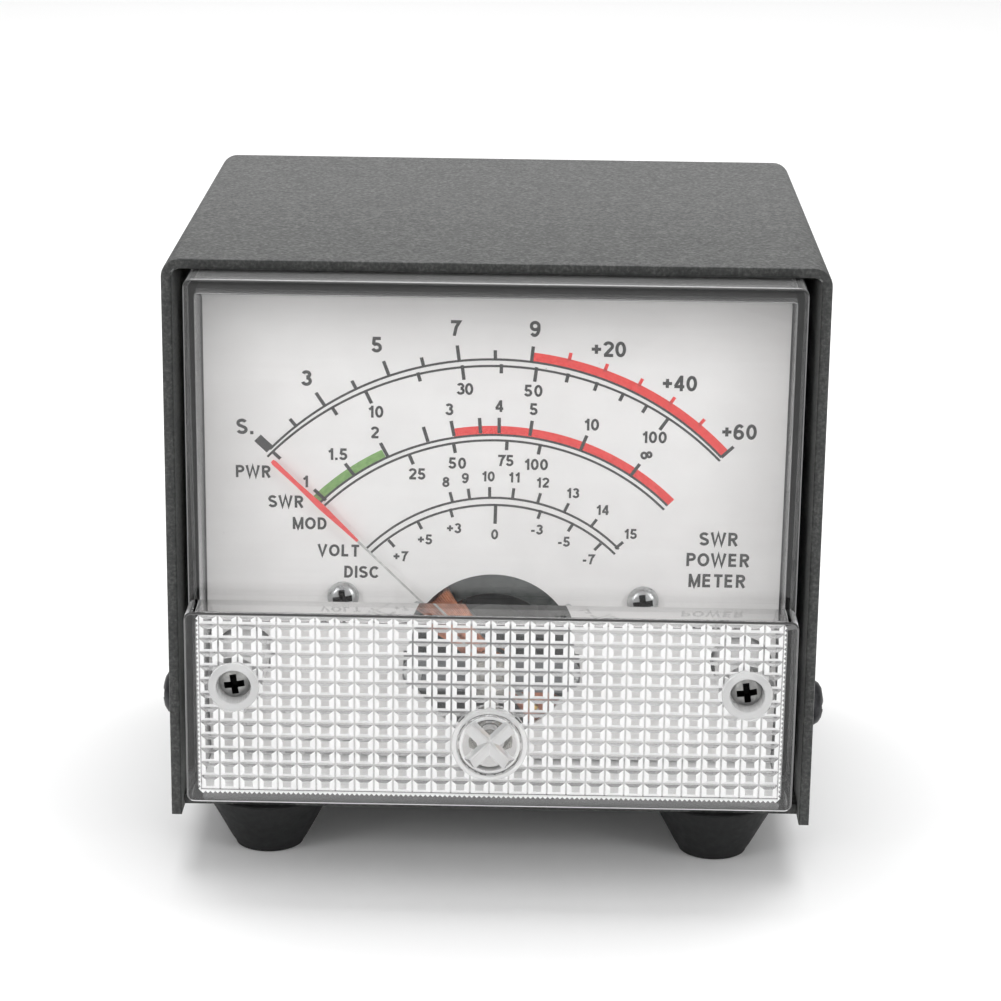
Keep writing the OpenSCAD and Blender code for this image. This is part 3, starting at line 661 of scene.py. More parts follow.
def cover_shell():
    """Folded sheet cover with softened edges and four screw holes."""
    edge = 0.22
    stations = [(0.0, edge), (0.3 * edge, 0.3 * edge), (edge, 0.0)]
    stations += [(COVER_DEPTH - y, inset) for y, inset in reversed(stations)]
    bm = bmesh.new()
    rows = []
    for y, inset in stations:
        outer, inner = fold_section(inset)
        rows.append([bm.verts.new((x, y, z)) for x, z in outer + list(reversed(inner))])
    skin(bm, rows)
    for row in (rows[0], rows[-1]):
        for i in range(len(row) // 2 - 1):
            bm.faces.new((row[i], row[i + 1], row[-2 - i], row[-1 - i]))
    bmesh.ops.recalc_face_normals(bm, faces=bm.faces)
    hole = [(0, -40), (1.7, -40), (1.7, 40), (0, 40)]
    bm = cut(bm, *[lathe(hole, (0, y, CASE_SCREW_Z), FACING_RIGHT) for y in CASE_SCREW_YS])
    wall, roof = COVER_HALF_W - SHEET + 0.01, COVER_TOP - SHEET + 0.01
    # The inner faces take the lighter coat: painted light in the gap between the cover's sides and the clear
    # cover.
    mark(bm, lambda spot, _: abs(spot.x) < wall and spot.z < roof)
    finishes = ["powder_coat_black", "thin_coat"]
    finish_piece("cover_shell", bm, "case", "powder_coat_black", ["top_cover"], finishes)


def rubber_foot(name, x, y):
    """Tapered foot with a screw recess, rounded rims and a slight waist."""
    top_r, low_r, recess_r, hole_r = 7.25, 3.9, 2.9, 1.7
    top = FOOT_DROP + FLOOR_Z
    profile = [
        (recess_r, 0.25), (recess_r + 0.15, 0.05), (recess_r + 0.35, 0.0), (low_r - 0.4, 0.0),
        (low_r - 0.12, 0.1), (low_r, 0.4), (low_r + 0.5, 1.2), (low_r + 1.65, 3.4), (top_r - 0.6, 5.45),
        (top_r - 0.05, 6.35), (top_r, 6.55), (top_r - 0.15, top), (hole_r, top), (hole_r, 3.4),
        (recess_r, 3.4),
    ]
    foot = lathe(profile, (x, y, -FOOT_DROP), count=64)
    finish_piece(name.replace("foot_", "rubber_foot_"), foot, "case", "foot_rubber", [name])


def phillips_screw(radius, head_h, shank_r, shank_l):
    """Domed pan head with a tapered cross recess. The head is above z = 0."""
    dome = ((0, 1), (0.35, 0.98), (0.62, 0.9), (0.82, 0.74), (0.94, 0.5), (1, 0.24), (1, 0.04), (0.97, 0))
    head = lathe([(radius * across, head_h * up) for across, up in dome] + [
        (shank_r, 0), (shank_r, -shank_l + 0.3 * shank_r), (0.7 * shank_r, -shank_l), (0, -shank_l),
    ], count=40)
    reach, width = 0.62 * radius, 0.2 * radius
    for turn in (0, 90):
        rings = []
        for s, t, up in ((0.45, 0.7, 0.12), (1.0, 1.0, 0.9), (1.05, 1.05, 1.5)):
            x, y, z = reach * s, width * t, up * head_h
            rings.append([(-x, -y, z), (x, -y, z), (x, y, z), (-x, y, z)])
        head = cut(head, placed(loft(rings), (0, 0, 0), rotation(turn + 8, "Z")))

    def recessed(spot, _):
        off_axis = math.hypot(spot.x, spot.y) / radius
        return off_axis < 0.68 and 0 < spot.z < head_h * (0.92 - 0.3 * off_axis ** 2)

    # The cross recess takes the near-black finish: painted shade in the recess.
    mark(head, recessed)
    return head


def screw_set(name, node, slot, finish, screws):
    """One piece for the screws of a CAD node. Each has its head's and shank's sizes, place and turn."""
    heads = [placed(phillips_screw(*sizes), place, turned) for sizes, place, turned in screws]
    finish_piece(name, join(*heads), "case", slot, [node], [finish, "screw_recess"])


ZINC = "zinc_plated_steel"
BLACK = "black_oxide_steel"


def screws():
    sides = (-COVER_HALF_W, FACING_LEFT), (COVER_HALF_W, FACING_RIGHT)
    sizes = (2.75, 2.2, 1.47, 5.2)
    screw_set("case_side_screws", "cover_screws", BLACK, BLACK, [
        (sizes, (x, y, CASE_SCREW_Z), turned) for x, turned in sides for y in CASE_SCREW_YS
    ])
    sizes = (1.75, 1.3, 0.98, LENS_SCREW_END - BOSS_SEAT)
    screw_set("lens_screws", "meter_cover_screws", BLACK, "screw_steel", [
        (sizes, (x, BOSS_SEAT, BOSS_Z), FACING_FRONT) for x in (-BOSS_X, BOSS_X)
    ])
    sizes = (1.7, 1.2, 0.98, 3)
    screw_set("dial_screws", "scale_screws", ZINC, ZINC, [
        (sizes, (x, PLATE_FRONT, SCALE_SCREW_Z), FACING_FRONT) for x in (-SCALE_SCREW_X, SCALE_SCREW_X)
    ])
    sizes = (2.7, 1.9, 1.47, 7.4)
    screw_set("rubber_foot_screws", "foot_screws", ZINC, ZINC, [
        (sizes, (x, y, 3.4 - FOOT_DROP), FACING_DOWN) for x in (-FOOT_X, FOOT_X) for y in FOOT_YS
    ])


# ---- clear meter cover


LATTICE_X = 30.75
LATTICE_LOW = 6.35
LATTICE_HIGH = 26.05
CELL_W = 2.05
CELL_H = 1.55
VALLEY = 0.2
SIDE_FACET = 0.48
LOW_FACET = 0.45
HIGH_FACET = 0.2
FACET_DEPTH = 0.45
LATTICE_DEPTH = 0.5
SERRATION_DEPTH = 0.04


def lattice_lines(start, stop, pitch, first, last):
    """Places of the grid lines along one direction, with True where a cell's flat top begins or ends."""
    lines = []
    half = VALLEY / 2
    while start < stop - VALLEY:
        end = min(start + pitch, stop)
        lines += [(start, False), (start + half, False)]
        if end - start > first + last + VALLEY:
            lines += [(start + half + first, True), (end - half - last, True)]
        lines.append((end - half, False))
        start = end
    return lines + [(stop, False)]


def lattice_cutter():
    """What is removed from the box front: the valleys between rows of small flat-topped pyramids."""
    xs = lattice_lines(-LATTICE_X, LATTICE_X, CELL_W, SIDE_FACET, SIDE_FACET)
    zs = lattice_lines(LATTICE_LOW, LATTICE_HIGH, CELL_H, LOW_FACET, HIGH_FACET)
    outside = BOX_FRONT - 1.0
    deep = BOX_FRONT + LATTICE_DEPTH
    high = deep - FACET_DEPTH
    bm = bmesh.new()
    back = [[bm.verts.new((x, high if xt and zt else deep, z)) for z, zt in zs] for x, xt in xs]
    for i in range(len(xs) - 1):
        for j in range(len(zs) - 1):
            a, b, c, d = back[i][j], back[i + 1][j], back[i + 1][j + 1], back[i][j + 1]
            tops = [v.co.y < deep - 0.1 for v in (a, b, c, d)]
            if tops.count(True) != 1:
                bm.faces.new((a, b, c, d))
            elif tops[0] or tops[2]:
                bm.faces.new((a, b, c))
                bm.faces.new((a, c, d))
            else:
                bm.faces.new((a, b, d))
                bm.faces.new((b, c, d))
    rim = [row[0] for row in back] + back[-1][1:] + [row[-1] for row in reversed(back[:-1])]
    rim += list(reversed(back[0][1:-1]))
    front = [bm.verts.new((v.co.x, outside, v.co.z)) for v in rim]
    skin(bm, [rim, front])
    bm.faces.new(front)
    bmesh.ops.triangulate(bm, faces=[f for f in bm.faces if len(f.verts) > 4])
    bmesh.ops.recalc_face_normals(bm, faces=bm.faces)
    return bm


def serration():
    """Fine saw-tooth border round the lattice, as a flat star-shaped slab."""
    tooth, top_tooth, pitch = 0.25, 0.06, 0.52
    w, low, high = LATTICE_X, LATTICE_LOW, LATTICE_HIGH
    outline = []
    for x0, z0, x1, z1 in (-w, low, w, low), (w, low, w, high), (w, high, -w, high), (-w, high, -w, low):
        length = abs(x1 - x0) + abs(z1 - z0)
        out_x, out_z = (z1 - z0) / length, (x0 - x1) / length
        count = round(length / pitch)
        depth = top_tooth if out_z > 0 else tooth
        for i in range(2 * count):
            share, out = i / (2 * count), depth * (i % 2)
            outline.append((x0 + (x1 - x0) * share + out_x * out, z0 + (z1 - z0) * share + out_z * out))
    bm = loft([[(x, y, z) for x, z in outline] for y in (BOX_FRONT - 1.0, BOX_FRONT + SERRATION_DEPTH)])
    bmesh.ops.triangulate(bm, faces=[f for f in bm.faces if len(f.verts) > 4])
    return bm


def boss_ring(x, z, inner, outer, front):
    """Round collar with a softened rim, from the box's inside to its front end."""
    soft = 0.22
    half = (outer - inner) / 2
    side = [(half, -BOX_INSIDE), (half, -front - soft), (half - 0.3 * soft, -front - 0.3 * soft),
            (half - soft, -front)]
    profile = [(inner + half + across, up) for across, up in mirrored(side)]
    return lathe(profile, (x, 0, z), FACING_FRONT, 64)


COVER_FINISHES = list(FINISHES[clear_plastic])


def cover_finish(face):
    """Finish of one face of the moulding, told from its place and the way that it faces. Most faces take lit
    and shaded copies of the clear styrene, which paint highlights and shade on them.
    """
    spot, normal = face.calc_center_median(), face.normal
    off_boss = max(math.hypot(abs(v.co.x) - BOSS_X, v.co.z - BOSS_Z) for v in face.verts)
    off_adjuster = max(math.hypot(v.co.x, v.co.z - ADJUST_Z) for v in face.verts)
    in_lattice = abs(spot.x) < LATTICE_X + 0.02 and LATTICE_LOW - 0.02 < spot.z < LATTICE_HIGH + 0.02
    groove_floor = BOX_FRONT + LATTICE_DEPTH - 0.01
    near_front = spot.y < groove_floor + 0.02
    if off_boss < 3.05 or (off_adjuster < 4.1 and near_front):
        return "frosted_plastic"
    # Prism facets: side and lower facets and the lowest row get a painted highlight, upper facets and groove
    # floors a painted shade.
    if near_front and in_lattice:
        if abs(normal.x) > 0.3 or normal.z < -0.3 or spot.z < LATTICE_LOW + 0.02:
            return "prism_bright"
        return "prism_dim" if normal.z > 0.3 or spot.y > groove_floor else "clear_plastic"
    # Front faces: the floor of the saw-tooth border gets a painted highlight, the face round it a painted
    # shade.
    if normal.y < -0.9 and near_front:
        return "prism_bright" if spot.y > BOX_FRONT + SERRATION_DEPTH / 2 else "clear_rim"
    # Roundings: upward ones get a near-black painted shade, the lower front one a painted highlight line, the
    # rest a grey painted shade.
    if 0.1 < abs(normal.y) < 0.97:
        if normal.z > 0.1:
            return "clear_dark"
        return "prism_bright" if normal.z < -0.3 and spot.z < LENS_LOW.z + LENS_EDGE_R else "clear_rim"
    # Top of the bottom wall inside the box: painted highlight.
    if normal.z > 0.9 and spot.z < LENS_LOW.z + LENS_WALL + 0.05:
        return "prism_bright"
    on_rim = abs(spot.x) > LENS_HALF_W - 2.2 or spot.z > LENS_HIGH.z - 2.2 or spot.z < LENS_LOW.z + 1.3
    if abs(normal.x) > 0.9 and abs(spot.x) < LENS_HALF_W - LENS_WALL / 2:
        return "frosted_plastic"
    # Outer faces near the rims: a grey tint paints shade on them and a little milky haze paints light.
    if on_rim and abs(normal.y) < 0.1:
        return "clear_edges"
    return "clear_plastic"


def clear_cover():
    """One moulding: window, ledge and box, with the prism lattice, screw bosses and adjuster collar."""
    low, high = LENS_LOW.z, LENS_HIGH.z
    back = LENS_HIGH.y
    inside_w, inside_low, inside_r = LENS_HALF_W - LENS_WALL, low + LENS_WALL, 0.4
    edges = (LENS_CORNER_R, LENS_EDGE_R)
    shell = rounded_block(LENS_HALF_W, low, high, WINDOW_FRONT, back, *edges)
    shell = union(shell, rounded_block(LENS_HALF_W, low, LEDGE_Z, BOX_FRONT, back - 0.4, *edges))
    edges = (inside_r, LENS_INSIDE_R)
    shell = cut(
        shell,
        rounded_block(inside_w, inside_low, high - LENS_TOP_WALL, WINDOW_INSIDE, back + 1, *edges),
        rounded_block(inside_w, inside_low, LEDGE_Z - LENS_WALL, BOX_INSIDE, back + 1.4, *edges),
        lattice_cutter(),
        serration(),
    )
    for x in (-BOSS_X, BOSS_X):
        shell = union(
            shell,
            rod_y(2.7, BOX_FRONT + 0.05, BOX_INSIDE + 0.1, x, BOSS_Z, 64),
            boss_ring(x, BOSS_Z, 1.83, 2.7, BOX_FRONT - 0.2),
            rod_y(3.0, BOX_INSIDE - 0.1, back - 0.02, x, BOSS_Z),
        )
        seat = rod_y(1.83, BOX_FRONT - 1, BOSS_SEAT, x, BOSS_Z)
        shell = cut(shell, seat, rod_y(1.1, BOX_FRONT, back + 1, x, BOSS_Z))
    shell = union(shell, boss_ring(0, ADJUST_Z, 3.5, 4.05, BOX_FRONT - 0.3))
    shell = cut(shell, rod_y(3.5, BOX_FRONT - 1, BOX_INSIDE + 1, 0, ADJUST_Z, 64))
    shell.normal_update()
    for face in shell.faces:
        face.material_index = COVER_FINISHES.index(cover_finish(face))
    finish_piece("clear_cover", shell, "case", "clear_plastic", ["meter_cover"], COVER_FINISHES, 28)


def clear_adjuster():
    """Clear zero adjuster with a crossed V groove, a shaft and an offset crank pin."""
    front, rim = BOX_FRONT - 0.2, 3.4
    groove_half, groove_end, groove_reach = 0.96, front + 1.0, 3.0
    disc = lathe([
        (0, 0), (rim - 0.5, 0), (rim - 0.18, -0.04), (rim, -0.22), (rim, -1.55), (rim + 0.6, -1.6),
        (rim + 0.6, -2.2), (2.2, -2.2), (1.2, -2.6), (1.2, -6.05), (2.1, -6.05), (2.1, -6.85), (0, -6.85),
    ], (0, front, ADJUST_Z), FACING_FRONT, 64)
    for turn in (45, 135):
        groove = loft([
            [(x, front - 0.2, -groove_half), (x, front - 0.2, groove_half), (x, groove_end, 0.1),
             (x, groove_end, -0.1)]
            for x in (-groove_reach, groove_reach)
        ])
        disc = cut(disc, placed(groove, (0, 0, ADJUST_Z), rotation(turn, "Y")))
    disc = union(disc, rod_y(0.45, -1.85, -0.75, 0, ADJUST_Z - 1.5, 24))

    def grooved(spot, normal):
        off_axis = math.hypot(spot.x, spot.z - ADJUST_Z)
        return front + 0.01 < spot.y < groove_end + 0.01 and off_axis < rim - 0.2 and normal.y < -0.2

    mark(disc, grooved)
    finishes = ["clear_plastic", "frosted_plastic"]
    finish_piece("clear_adjuster", disc, "zero_adjust_knob", "clear_plastic", ["zero_adjuster"], finishes, 28)


# ---- dial printing


COLOUR_FRONT = PLATE_FRONT - 0.02
DARK_FRONT = PLATE_FRONT - 0.03
PRINT_BACK = PLATE_FRONT + 0.01
DIAL_Z = 18.6
LINE_W = 0.24
TICK_W = 0.36


def arc_points(cx, cz, rx, rz, start, stop, step=12):
    """Points along an ellipse between two angles, counted from +X towards +Z in degrees."""
    count = max(2, round(abs(stop - start) / step))
    angles = [math.radians(start + (stop - start) * i / count) for i in range(count + 1)]
    return [(cx + rx * math.cos(a), cz + rz * math.sin(a)) for a in angles]


def oval(cx, cz, rx, rz):
    """Ellipse whose last point is its first."""
    points = arc_points(cx, cz, rx, rz, 0, 345)
    return points + points[:1]


def stroke(points, width, front, back):
    """Flat prism along a line of (x, z) points, mitred, and closed if the line ends where it starts."""
    closed = points[0] == points[-1]
    spots = [Vector(point) for point in (points[:-1] if closed else points)]
    steps = [(after - before).normalized() for before, after in zip(spots, spots[1:] + spots[:1])]
    rings = []
    for i, here in enumerate(spots):
        coming = steps[i - 1] if closed or i > 0 else steps[i]
        going = steps[i] if closed or i < len(spots) - 1 else coming
        way = (coming + going).normalized()
        out = Vector((-way.y, way.x)) * (width / 2 / max(0.45, way.dot(coming)))
        left, right = here + out, here - out
        rings.append([(p.x, y, p.y) for p, y in ((left, front), (right, front), (right, back), (left, back))])
    return loft(rings, closed)


GLYPH_PEN = 0.2
GLYPH_GAP = 0.15


def glyph_lines():
    """Plain upright characters of height 1, each a list of lines of points."""
    low, top = GLYPH_PEN / 2, 1 - GLYPH_PEN / 2
    stem = [(low, 0), (low, 1)]
    bowl = [(low, top)] + arc_points(0.36, 0.70, 0.21, top - 0.70, 90, -90) + [(low, 0.475)]
    six = [oval(0.31, 0.305, 0.235, 0.23), arc_points(0.345, 0.42, 0.27, top - 0.42, 48, 183)]
    return {
        "0": [oval(0.31, 0.5, 0.235, top - 0.5)],
        "1": [[(0.36, 0), (0.36, 1)], [(0.36, 0.9), (0.26, 0.78), (0.1, 0.69)]],
        "2": [arc_points(0.31, 0.69, 0.235, top - 0.69, 168, -32) + [(0.1, 0.12), (0.08, low)],
              [(0.03, low), (0.6, low)]],
        "3": [arc_points(0.3, 0.735, 0.205, top - 0.735, 160, -90),
              arc_points(0.3, 0.31, 0.235, 0.31 - low, 90, -165)],
        "4": [[(0.44, 0), (0.44, 1)], [(0.42, 0.93), (0.06, 0.31)], [(0.0, 0.29), (0.62, 0.29)]],
        "5": [[(0.58, top), (0.17, top), (0.12, 0.5)], arc_points(0.3, 0.32, 0.24, 0.32 - low, 140, -160)],
        "6": six,
        "7": [[(0.03, top), (0.56, top), (0.36, 0.56), (0.23, 0.0)]],
        "8": [oval(0.31, 0.735, 0.2, top - 0.735), oval(0.31, 0.305, 0.235, 0.305 - low)],
        "9": [[(0.62 - x, 1 - z) for x, z in line] for line in six],
        "+": [[(0.03, 0.48), (0.61, 0.48)], [(0.32, 0.19), (0.32, 0.77)]],
        "-": [[(0.0, 0.36), (0.34, 0.36)]],
        ".": [[(0.0, low), (GLYPH_PEN, low)]],
        "C": [arc_points(0.39, 0.5, 0.315, top - 0.5, 42, 318)],
        "D": [stem, [(low, top)] + arc_points(0.3, 0.5, 0.3, top - 0.5, 90, -90) + [(low, low)]],
        "E": [[(0.56, top), (low, top), (low, low), (0.57, low)], [(low, 0.52), (0.53, 0.52)]],
        "I": [stem],
        "L": [[(low, 1), (low, low), (0.54, low)]],
        "M": [stem, [(0.74, 0), (0.74, 1)], [(low, 0.93), (0.41, 0.08), (0.74, 0.93)]],
        "O": [oval(0.4, 0.5, 0.325, top - 0.5)],
        "P": [stem, bowl],
        "R": [stem, bowl, [(0.32, 0.48), (0.6, 0.0)]],
        "S": [arc_points(0.33, 0.715, 0.24, top - 0.715, 25, 235)
              + arc_points(0.33, 0.29, 0.255, 0.29 - low, 60, -160)],
        "T": [[(0.0, top), (0.62, top)], [(0.31, 0.9), (0.31, 0)]],
        "V": [[(0.04, 1), (0.34, 0.06), (0.64, 1)]],
        "W": [[(0.04, 1), (0.27, 0.06), (0.51, 0.94), (0.75, 0.06), (0.98, 1)]],
    }


GLYPHS = glyph_lines()
OPEN_RIGHT = "+-4237T."


def glyph_width(character):
    reach = max(x for line in GLYPHS[character] for x, _ in line)
    return reach if character in OPEN_RIGHT else reach + GLYPH_PEN / 2


def dial_point(angle, radius):
    """Place at an angle from the vertical on a circle about the dial's centre."""
    a = math.radians(angle)
    return radius * math.sin(a), DIAL_Z + radius * math.cos(a)


class Print:
    """Flat ink shapes, a hundredth of a millimetre into the plate and a little proud of it."""

    def __init__(self, name, ink="ink_dark"):
        self.name = name
        self.ink = ink
        self.front = DARK_FRONT if ink == "ink_dark" else COLOUR_FRONT
        self.parts = []

    def stroke(self, points, width):
        return stroke(points, width, self.front, PRINT_BACK)

    def band(self, centre_z, inner, outer, start, stop):
        """Ring sector between two angles from the vertical, in degrees."""
        middle = (inner + outer) / 2
        points = arc_points(0, centre_z, middle, middle, 90 - start, 90 - stop, 1.5)
        self.parts.append(self.stroke(points, outer - inner))

    def arc(self, centre_z, radius, start, stop):
        self.band(centre_z, radius - LINE_W / 2, radius + LINE_W / 2, start, stop)

    def tick(self, angle, inner, outer, width=TICK_W):
        self.parts.append(self.stroke([dial_point(angle, inner), dial_point(angle, outer)], width))

    def label(self, text, x, z, height, turn=0.0):
        """Plain lettering of a given capital height, centred on a place."""
        widths = [glyph_width(c) for c in text]
        start = -(sum(widths) + GLYPH_GAP * (len(text) - 1)) / 2
        cos_turn, sin_turn = math.cos(math.radians(turn)), math.sin(math.radians(turn))
        for character, width in zip(text, widths):
            strokes = []
            for line in GLYPHS[character]:
                spots = [((start + u) * height, (v - 0.5) * height) for u, v in line]
                spots = [(x + u * cos_turn - v * sin_turn, z + u * sin_turn + v * cos_turn) for u, v in spots]
                strokes.append(self.stroke(spots, GLYPH_PEN * height))
            self.parts.append(union(*strokes))
            start += width + GLYPH_GAP

    def around(self, text, angle, radius, height, turn=0.0):
        self.label(text, *dial_point(angle, radius), height, turn)

    def finish(self):
        finish_piece(self.name, join(*self.parts), "case", "printed_plate", finishes=[self.ink])


REST_ANGLE = -46.5
FULL_ANGLE = 46.5


def print_signal_scale():
    """S units every two steps, then decibels over nine in red."""
    step = 6.6
    radius = 33.1
    nine = REST_ANGLE + 8 * step
    dark = Print("print_signal_scale")
    dark.arc(DIAL_Z, radius, REST_ANGLE, FULL_ANGLE)
    dark.arc(DIAL_Z - 1.1, radius + 0.38, REST_ANGLE, FULL_ANGLE - 1)
    dark.tick(REST_ANGLE, radius, radius + 1.8, 1.0)
    dark.tick(FULL_ANGLE, radius, radius + 1.75)
    for number in range(1, 9):
        dark.tick(REST_ANGLE + step * number, radius, radius + (1.7 if number % 2 == 0 else 1.0))
    for number, text in enumerate(("S.", "3", "5", "7", "9")):
        dark.around(text, REST_ANGLE + 2 * step * number, 36.7, 1.7)
    for number, text in enumerate(("+20", "+40", "+60")):
        dark.around(text, nine + 2 * step * (number + 1) - 0.7, 36.4, 1.7)
    dark.finish()
    red = Print("print_signal_red_zone", "ink_red")
    red.band(DIAL_Z, radius + 0.1, radius + 1.05, nine, FULL_ANGLE)
    for number in range(9, 14):
        red.tick(REST_ANGLE + step * number, radius + 0.9, radius + 1.75)
    red.finish()


def power_angle(watts):
    """Deflection follows the rectified voltage, so it opens out a little less than the power does."""
    return REST_ANGLE + 80.5 * (watts / 100) ** 0.58


def print_power_scale():
    labelled = (10, 30, 50, 100)
    dark = Print("print_power_scale")
    for watts in [0, 5] + list(range(10, 101, 10)):
        dark.tick(power_angle(watts), 31.0 if watts in labelled else 31.6, 32.6)
    for watts in labelled:
        dark.around(str(watts), power_angle(watts), 30.0, 1.3)
    dark.finish()


def print_swr_scale():
    """Standing-wave ratio: labelled ticks, unlabelled ticks between them, and the open-circuit sign."""
    centre = DIAL_Z - 1.5
    labelled = {"1": -46.5, "1.5": -37, "2": -27.5, "3": -10.5, "4": 0.5, "5": 8, "10": 21}
    open_circuit = 35
    last = 44.5
    dark = Print("print_swr_scale")
    dark.arc(centre, 26.3, REST_ANGLE, last)
    dark.arc(centre - 0.1, 25.8, REST_ANGLE, last)
    for angle in list(labelled.values()) + [-17, -4, open_circuit]:
        dark.tick(angle, 25.0, 26.7)
    for text, angle in labelled.items():
        dark.around(text, angle, 28.0, 1.3)
    dark.around("8", open_circuit, 27.9, 1.3, turn=-80)
    dark.finish()
    green = Print("print_swr_green_zone", "ink_green")
    green.band(centre, 26.4, 27.3, REST_ANGLE + 1, -26.5)
    green.finish()
    red = Print("print_swr_red_zone", "ink_red")
    red.band(centre, 26.4, 27.3, -10, last)
    red.finish()


def print_modulation_scale():
    dark = Print("print_modulation_scale")
    for text, angle in {"25": -22.5, "50": -11, "75": 2.5, "100": 11}.items():
        dark.tick(angle, 23.15, 24.25)
        dark.around(text, angle, 22.0, 1.25)
    dark.finish()


def print_volt_scale():
    """Eight to fifteen volts, opening out towards the top of the range."""
    dark = Print("print_volt_scale")
    dark.arc(DIAL_Z - 1.1, 18.9, REST_ANGLE, FULL_ANGLE - 1.5)
    for number in range(8):
        angle = -15 + 5.5 * number + 0.47 * number ** 2
        dark.tick(angle, 17.9, 19.0, 0.32)
        dark.around(str(number + 8), angle - 0.4, 20.2, 1.12)
    dark.finish()


def print_discriminator_scale():
    """Tuning offset either side of a longer centre tick."""
    dark = Print("print_discriminator_scale")
    dark.arc(DIAL_Z - 1.5, 18.5, REST_ANGLE, FULL_ANGLE - 2)
    for offset in (3, 5, 7):
        angle = 16.4 + 6.3 * (offset - 3)
        for sign, side in (("+", -1), ("-", 1)):
            dark.tick(side * angle, 16.2, 17.2, 0.32)
            dark.around(f"{sign}{offset}", side * (angle + 0.9), 15.0, 1.12)
    dark.tick(0, 14.9, 17.1)
    dark.around("0", 0, 13.7, 1.12)
    dark.finish()


def print_words():
    """Names of the five scales, stepping down beside the resting pointer, and three lines at the right."""
    dark = Print("print_words")
    top_x, top_z, lean = -25.8, 38.9, 1.04
    for text, drop in (("PWR", 0), ("SWR", 3.3), ("MOD", 5.7), ("VOLT", 8.7), ("DISC", 11.1)):
        dark.label(text, top_x + lean * drop, top_z - drop, 1.35)
    for row, text in enumerate(("SWR", "POWER", "METER")):
        dark.label(text, 24.1, 32.2 - 2.37 * row, 1.5)
    dark.finish()


# ---- movement


AT_REST = rotation(POINTER_REST, "Y")


def pointer_blade():
    """Flat pointer: a thin shank, a blade that swells where it is painted, a hub ring and a tail."""
    low, high = case_box("pointer")
    right = [
        (0.25, -7.0), (0.25, -0.3), (0.11, 0.3), (0.11, 19.5), (0.2, 22.0), (0.34, 25.6), (0.22, 29.4),
        (0.27, 32.7), (0.17, 33.0),
    ]
    blade = loft([[(x, y, z) for x, z in mirrored(right)] for y in (low.y, high.y)])
    blade = union(blade, rod_y(1.1, low.y - 0.03, high.y + 0.03))
    blade = placed(cut(blade, rod_y(0.48, low.y - 1, high.y + 1)), (0, 0, PIVOT_Z), AT_REST)
    finish_piece("pointer_blade", blade, "pointer_assembly", "red_pointer", ["pointer"])


def coil_turn(inset):
    """One turn of the coil from the side, with the share of the full width at each point.

    Its front end fans out ahead of the yoke.
    """
    half = 6.9 - inset
    reach = 9.6 - inset
    front = -6.5 + inset
    neck = -4.92 - inset
    back = 6.5 - inset
    narrow = 0.56
    return mirrored([
        (4.6, front, narrow), (reach - 0.1, front, 1), (reach, front + 0.1, 1), (reach, neck - 0.1, 1),
        (reach - 0.1, neck, 1), (half + 0.1, neck, narrow), (half, neck + 0.1, narrow),
        (half, back - 0.4, narrow), (half - 0.4, back, narrow),
    ])


def copper_windings():
    """The moving coil as turns of varnished wire round the former."""
    wire_r = 0.135
    layers, turns = 3, 18
    middle_y = 9.8
    parts = []
    for layer in range(layers):
        path = coil_turn(wire_r + layer * 1.9 * wire_r)
        for turn in range(turns):
            across = (turn - (turns - 1) / 2) * 2 * wire_r + (0.0 if layer % 2 == 0 else wire_r * 0.6)
            rings = []
            for i, (along, deep, spread) in enumerate(path):
                ahead = path[(i + 1) % len(path)]
                behind = path[i - 1]
                way = Vector((ahead[0] - behind[0], ahead[1] - behind[1])).normalized()
                out = Vector((way.y, -way.x))
                x, y = across * spread, middle_y + deep
                wire = circle_points(wire_r, 6)
                rings.append([(x + lift, y + out.y * side, along + out.x * side) for side, lift in wire])
            parts.append(loft(rings, looped=True))
    coil = join(*parts)
    bmesh.ops.remove_doubles(coil, verts=coil.verts, dist=1e-4)
    placed(coil, (0, 0, PIVOT_Z), AT_REST)
    finish_piece("copper_windings", coil, "pointer_assembly", "copper_winding", ["moving_coil"],
                 smooth_angle=60)


# ---- rear fittings


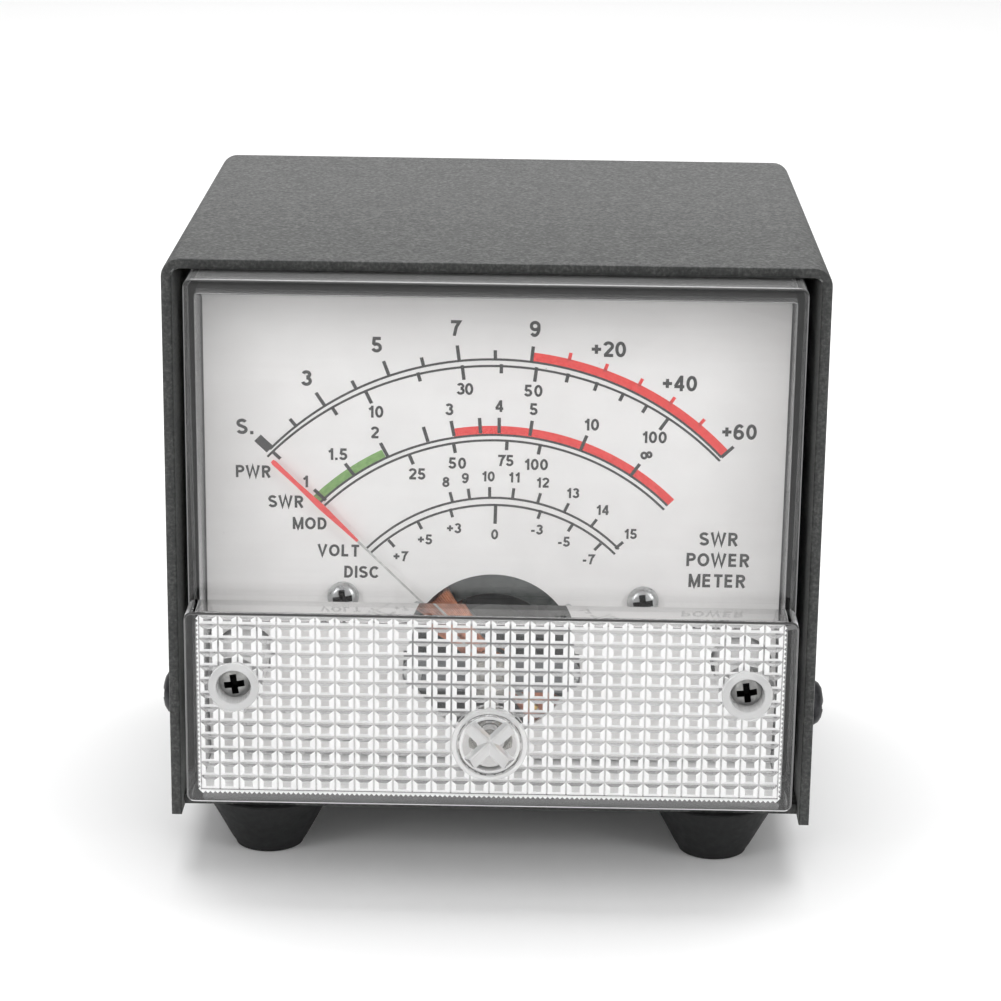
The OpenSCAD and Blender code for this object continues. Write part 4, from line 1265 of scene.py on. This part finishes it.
def knurled_nut():
    """Slotted ring nut with a knurled rim."""
    teeth = 36
    rim, root = 4.0, 3.82
    base = PANEL_BACK
    rings = []
    for height, shrink in ((0.0, 0.25), (0.2, 0.0), (1.75, 0.0), (2.0, 0.3)):
        ring = []
        for i in range(2 * teeth):
            a = math.pi * i / teeth
            r = (rim if i % 2 else root) - shrink
            ring.append((JACK_X + r * math.cos(a), base + height, JACK_Z + r * math.sin(a)))
        rings.append(ring)
    nut = cut(loft(rings), rod_y(3.02, base - 1, base + 3, JACK_X, JACK_Z))
    for w, h in ((5, 0.45), (0.45, 5)):
        nut = cut(nut, block(JACK_X - w, JACK_X + w, base + 1.2, base + 3, JACK_Z - h, JACK_Z + h))
    finish_piece("jack_ring_nut", nut, "case", "nickel_plate", ["jack_nut"])


def threaded_bush():
    """Jack bush with fine thread ridges and a chamfered mouth."""
    low, high = case_box("jack_bush")
    outer, bore, pitch = 3.0, 1.8, 0.5
    start = PANEL_BACK + 0.2
    shoulder = PANEL_BACK - 0.6
    profile = [(bore, low.y), (2.5, low.y), (2.5, shoulder), (outer, shoulder), (outer, start)]
    place = start
    while place < high.y - 0.9:
        profile += [(outer - 0.18, place + pitch / 2), (outer, place + pitch)]
        place += pitch
    profile += [(outer, high.y - 0.35), (outer - 0.35, high.y), (bore + 0.3, high.y), (bore, high.y - 0.3)]
    bush = lathe([(r, -y) for r, y in profile], (JACK_X, 0, JACK_Z), FACING_FRONT)
    finish_piece("jack_threaded_bush", bush, "case", "nickel_plate", ["jack_bush"])


def panel_screws():
    """Two screws in the back panel and two on the board inside."""
    board_front = case_box("calibration_board")[0].y
    pairs = []
    for x, z in PANEL_SCREWS:
        pairs.append(((2.7, 1.9, 1.47, 4.5), (x, PANEL_BACK, z), FACING_BACK))
        pairs.append(((2.7, 1.9, 1.47, 5.0), (x, board_front, z), FACING_FRONT))
    screw_set("back_panel_screws", "board_screws", ZINC, ZINC, pairs)


# ---- build

add_camera()
add_studio()
add_floor()
bpy.context.scene.view_settings.view_transform = "Standard"
paint_frame()
cover_shell()
for end, y in zip(("front", "rear"), FOOT_YS):
    for side, x in (("left", -FOOT_X), ("right", FOOT_X)):
        rubber_foot(f"foot_{end}_{side}", x, y)
screws()
clear_cover()
clear_adjuster()
print_signal_scale()
print_power_scale()
print_swr_scale()
print_modulation_scale()
print_volt_scale()
print_discriminator_scale()
print_words()
pointer_blade()
copper_windings()
knurled_nut()
threaded_bush()
panel_screws()
